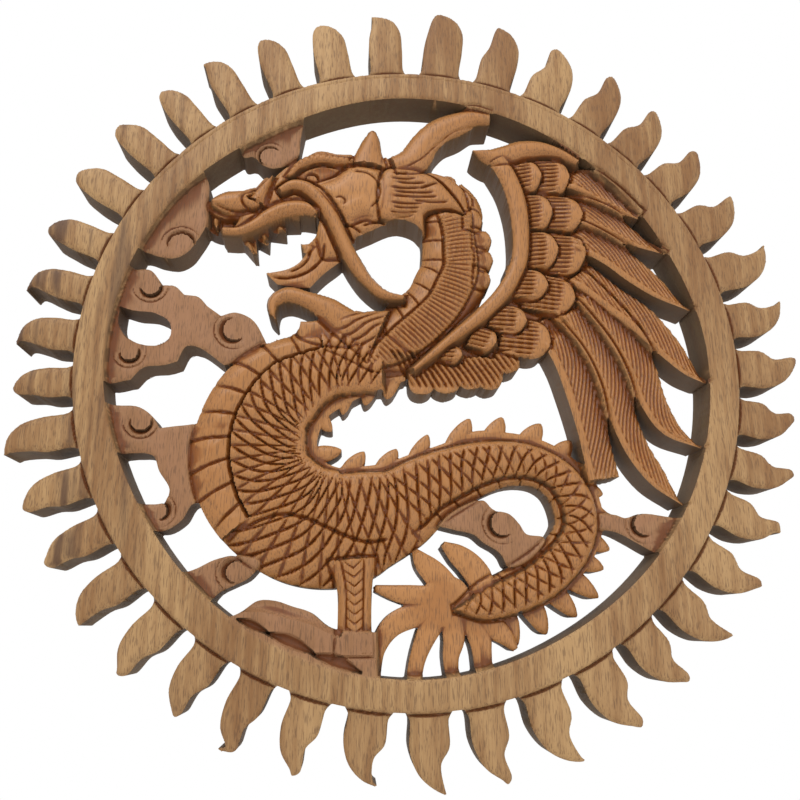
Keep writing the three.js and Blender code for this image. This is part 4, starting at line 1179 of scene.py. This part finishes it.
class Finish:
    """A material under construction."""

    def __init__(self, name):
        self.material = bpy.data.materials.new(name)
        self.material.use_nodes = True
        self.tree = self.material.node_tree
        self.tree.nodes.clear()

    def node(self, kind, settings=None, inputs=None, output=0):
        """Adds a node: its settings first, then values or links for its sockets."""
        node = self.tree.nodes.new(kind)
        for name, value in (settings or {}).items():
            setattr(node, name, value)
        for name, value in (inputs or {}).items():
            if isinstance(value, Shade):
                self.tree.links.new(value.socket, node.inputs[name])
            else:
                node.inputs[name].default_value = value
        return Shade(self, node.outputs[output])

    def field(self, name):
        return self.node("ShaderNodeAttribute", {"attribute_name": name}, output="Fac")

    def noise(self, where, scale, detail=3.0, roughness=0.5):
        return self.node("ShaderNodeTexNoise", {}, {
            "Vector": where, "Scale": scale, "Detail": detail, "Roughness": roughness}, "Fac")

    def stretched(self, where, x, y, z):
        """The same place in a space drawn out along the grain."""
        return self.node("ShaderNodeVectorMath", {"operation": "MULTIPLY"},
                         {0: where, 1: (x, y, z)}, "Vector")

    def between(self, value, low, high):
        """0 at low and 1 at high, and clamped outside."""
        return self.node("ShaderNodeMapRange", {"interpolation_type": "SMOOTHSTEP"}, {
            "Value": value, "From Min": low, "From Max": high}, "Result")

    def blend(self, first, second, share):
        """One colour over another by a share."""
        as_colour = [value if isinstance(value, Shade) else (*value, 1)
                     for value in (first, second)]
        return self.node("ShaderNodeMix", {"data_type": "RGBA"}, {
            0: share, 6: as_colour[0], 7: as_colour[1]}, 2)

    def surface(self, inputs):
        """Joins one Principled shader to the output, and gives the finished material."""
        shader = self.node("ShaderNodeBsdfPrincipled", {}, inputs, "BSDF")
        output = self.tree.nodes.new("ShaderNodeOutputMaterial")
        self.tree.links.new(shader.socket, output.inputs["Surface"])
        return self.material


def carved_wood(finish_values):
    """Oiled wood with upright grain: pale ring, dull clouds and a glossy stained figure."""
    colours = {name: tuple(getattr(finish_values, name)) for name in (
        "pale", "brown", "streak", "stained", "wear_and_highlight", "groove", "cloud", "sawn_wall_and_shade")}
    wood = Finish("oiled_carved_wood")
    place = wood.node("ShaderNodeTexCoord", output="Object")
    long_grain = wood.stretched(place, 1, 1, 0.07)
    broad_grain = wood.stretched(place, 1, 1, 0.16)
    bands = wood.noise(broad_grain, 26, 4, 0.55)
    lines = wood.noise(long_grain, 320, 3, 0.6)
    pores = wood.noise(wood.stretched(place, 1, 1, 0.09), 2000, 2, 0.5)
    patches = wood.noise(place, 13, 3, 0.5)
    hollow, figure, cloud, pale_figure = (
        wood.field(name) for name in ("hollow", "figure", "cloud", "pale_figure"))

    grain = wood.between(bands * 0.6 + lines * 0.4, 0.36, 0.64)
    plank = wood.blend(colours["pale"], colours["brown"], grain)
    upright = wood.node("ShaderNodeSeparateXYZ", {}, {0: place}, "X")
    heartwood = wood.between(upright, -0.09, -0.17) * wood.between(
        wood.noise(long_grain, 90, 3, 0.6), 0.5, 0.66)
    plank = wood.blend(plank, colours["streak"], heartwood * 0.9)
    stained = wood.blend(colours["stained"], colours["brown"], grain * 0.4)
    stained = wood.blend(stained, colours["groove"], wood.between(patches, 0.52, 0.72) * 0.45)
    # Ridges of the figure are lightened: rubbed wear together with a painted highlight
    stained = wood.blend(stained, colours["wear_and_highlight"], wood.between(hollow, 0.46, 0.2) * 0.7)
    dull = wood.blend(colours["cloud"], colours["brown"], grain * 0.5)
    golden = wood.blend(stained, colours["wear_and_highlight"], 0.6)
    colour = wood.blend(plank, dull, cloud)
    colour = wood.blend(colour, stained, figure)
    colour = wood.blend(colour, golden, pale_figure)
    # Hollows are darkened everywhere: stain pooled in the cuts together with painted shade
    colour = wood.blend(colour, colours["groove"], wood.between(hollow, 0.52, 0.85) * 0.8)
    colour = wood.blend(colour, colours["streak"], wood.between(pores, 0.51, 0.64) * 0.5)
    facing = wood.node("ShaderNodeSeparateXYZ", {}, {
        0: wood.node("ShaderNodeNewGeometry", output="Normal")}, "Y")
    sideways = wood.between(facing * facing, 0.3, 0.08)
    backwards = wood.between(facing, 0.6, 0.9)
    # Walls that face sideways are darkened by their normal: the sawn wood's tone together with
    # painted shade
    sawn_wall_and_shade = wood.blend(colours["sawn_wall_and_shade"], colours["streak"], wood.between(lines, 0.4, 0.7) * 0.5)
    colour = wood.blend(colour, sawn_wall_and_shade, sideways * 0.8)
    colour = wood.blend(colour, plank, backwards)

    roughness = (finish_values.matt - figure * (finish_values.matt - finish_values.gloss)
                 + lines * 0.16 - 0.08 + sideways * 0.2)
    height = lines * 0.5 + wood.between(pores, 0.72, 0.58) * 0.5
    bump = wood.node("ShaderNodeBump", {}, {
        "Strength": 0.6, "Distance": finish_values.grain_depth, "Height": height}, "Normal")
    return wood.surface({"Base Color": colour, "Roughness": roughness, "Normal": bump,
                         "Specular IOR Level": 0.3})


def studio_paint():
    """Matt pale paint for the floor."""
    paint = Finish("pale_studio_floor")
    place = paint.node("ShaderNodeTexCoord", output="Object")
    cloudy = paint.noise(place, 3, 2)
    colour = paint.blend((0.80, 0.80, 0.79), (0.86, 0.86, 0.85), cloudy)
    return paint.surface({"Base Color": colour, "Roughness": 0.8})


def placed(name, data):
    thing = bpy.data.objects.new(name, data)
    bpy.context.collection.objects.link(thing)
    return thing


class OBJECT_OT_carved_panel(bpy.types.Operator):
    """Carve the panel: ring, rays, clouds, rock and dragon, in one piece of wood"""

    bl_idname = "object.add_carved_panel"
    bl_label = "Carved Panel"

    def execute(self, context):
        sizes = context.scene.panel_sizes
        relief = carved_relief(sizes)
        panel = placed("carved_panel_relief", panel_mesh(relief, sizes))
        thinned_out(panel, sizes.most_triangles)
        paint_fields(panel, relief, sizes)
        panel.data.shade_smooth()
        panel.data.set_sharp_from_angle(angle=SHARP_ANGLE)
        flatten_back(panel)
        panel.data.materials.append(carved_wood(context.scene.wood_finish))
        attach(panel, "root")
        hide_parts("carved_panel")
        return {"FINISHED"}


# Where the photograph was taken from: the lens in the panel's frame, in metres, and its axes
CAMERA_PLACE = (-0.0310, -0.4083, -0.28675)
CAMERA_RIGHT = (0.998067, -0.062151, 0.0)
CAMERA_UP = (-0.01665, -0.267368, 0.96345)
CAMERA_BACK = (-0.05988, -0.961587, -0.267886)
SENSOR_WIDTH = 36
# Where the two area lights stand and how wide and high they are, in metres
KEY_PLACE, KEY_SIZE = (-0.35, -0.75, 0.75), (0.9, 0.6)
FILL_PLACE, FILL_SIZE = (0.7, -1.0, -0.1), (1.0, 1.0)
PANEL_MIDDLE = (0, 0, -0.158)
FLOOR_REACH = 1.6


def add_camera(studio):
    camera = placed("camera", bpy.data.cameras.new("camera"))
    camera.data.lens = studio.lens
    camera.data.sensor_width = SENSOR_WIDTH
    turn = Matrix((CAMERA_RIGHT, CAMERA_UP, CAMERA_BACK)).transposed().to_4x4()
    camera.matrix_world = Matrix.Translation(CAMERA_PLACE) @ turn
    bpy.context.scene.camera = camera


def add_light(name, place, size, power):
    """A rectangular light that faces the middle of the panel."""
    lamp = bpy.data.lights.new(name, "AREA")
    lamp.shape = "RECTANGLE"
    lamp.size, lamp.size_y = size
    lamp.energy = power
    light = placed(name, lamp)
    facing = (Vector(place) - Vector(PANEL_MIDDLE)).to_track_quat("Z", "Y")
    light.matrix_world = Matrix.Translation(place) @ facing.to_matrix().to_4x4()


def add_floor(studio):
    floor_mesh = bpy.data.meshes.new("floor")
    corners = [(x * FLOOR_REACH, y * FLOOR_REACH, -studio.floor_drop)
               for x, y in ((-1, -1), (1, -1), (1, 1), (-1, 1))]
    floor_mesh.from_pydata(corners, [], [(0, 1, 2, 3)])
    floor_mesh.materials.append(studio_paint())
    floor = placed("floor", floor_mesh)


class SCENE_OT_carving_studio(bpy.types.Operator):
    """Set up the studio: camera, soft lights and a plain pale floor"""

    bl_idname = "scene.add_carving_studio"
    bl_label = "Studio"

    def execute(self, context):
        studio = context.scene.carving_studio
        add_camera(studio)
        add_light("key", KEY_PLACE, KEY_SIZE, studio.key_power)
        add_light("fill", FILL_PLACE, FILL_SIZE, studio.fill_power)
        add_floor(studio)
        world = bpy.data.worlds.new("pale room")
        world.use_nodes = True
        background = world.node_tree.nodes["Background"]
        background.inputs["Color"].default_value = (1, 1, 1, 1)
        background.inputs["Strength"].default_value = studio.sky
        context.scene.world = world
        context.scene.view_settings.view_transform = "Standard"
        return {"FINISHED"}


class VIEW3D_PT_carved_panel(bpy.types.Panel):
    """Lists the sizes, the finish and the pieces."""

    bl_idname = "VIEW3D_PT_carved_panel"
    bl_label = "Carved Panel"
    bl_space_type = "VIEW_3D"
    bl_region_type = "UI"
    bl_category = "Carved Panel"

    def draw(self, context):
        layout = self.layout
        for title, group in (("Sizes", context.scene.panel_sizes),
                             ("Wood", context.scene.wood_finish),
                             ("Studio", context.scene.carving_studio)):
            box = layout.box()
            box.label(text=title)
            for name in group.__annotations__:
                box.prop(group, name)
        for operator in (OBJECT_OT_carved_panel, SCENE_OT_carving_studio):
            layout.operator(operator.bl_idname)


CLASSES = (PanelSizes, WoodFinish, StudioSettings, OBJECT_OT_carved_panel,
           SCENE_OT_carving_studio, VIEW3D_PT_carved_panel)


def register():
    for each in CLASSES:
        bpy.utils.register_class(each)
    bpy.types.Scene.panel_sizes = bpy.props.PointerProperty(type=PanelSizes)
    bpy.types.Scene.wood_finish = bpy.props.PointerProperty(type=WoodFinish)
    bpy.types.Scene.carving_studio = bpy.props.PointerProperty(type=StudioSettings)


def unregister():
    del bpy.types.Scene.panel_sizes
    del bpy.types.Scene.wood_finish
    del bpy.types.Scene.carving_studio
    for each in reversed(CLASSES):
        bpy.utils.unregister_class(each)


def main():
    register()
    bpy.ops.object.add_carved_panel()
    bpy.ops.scene.add_carving_studio()


if __name__ == "__main__":
    main()
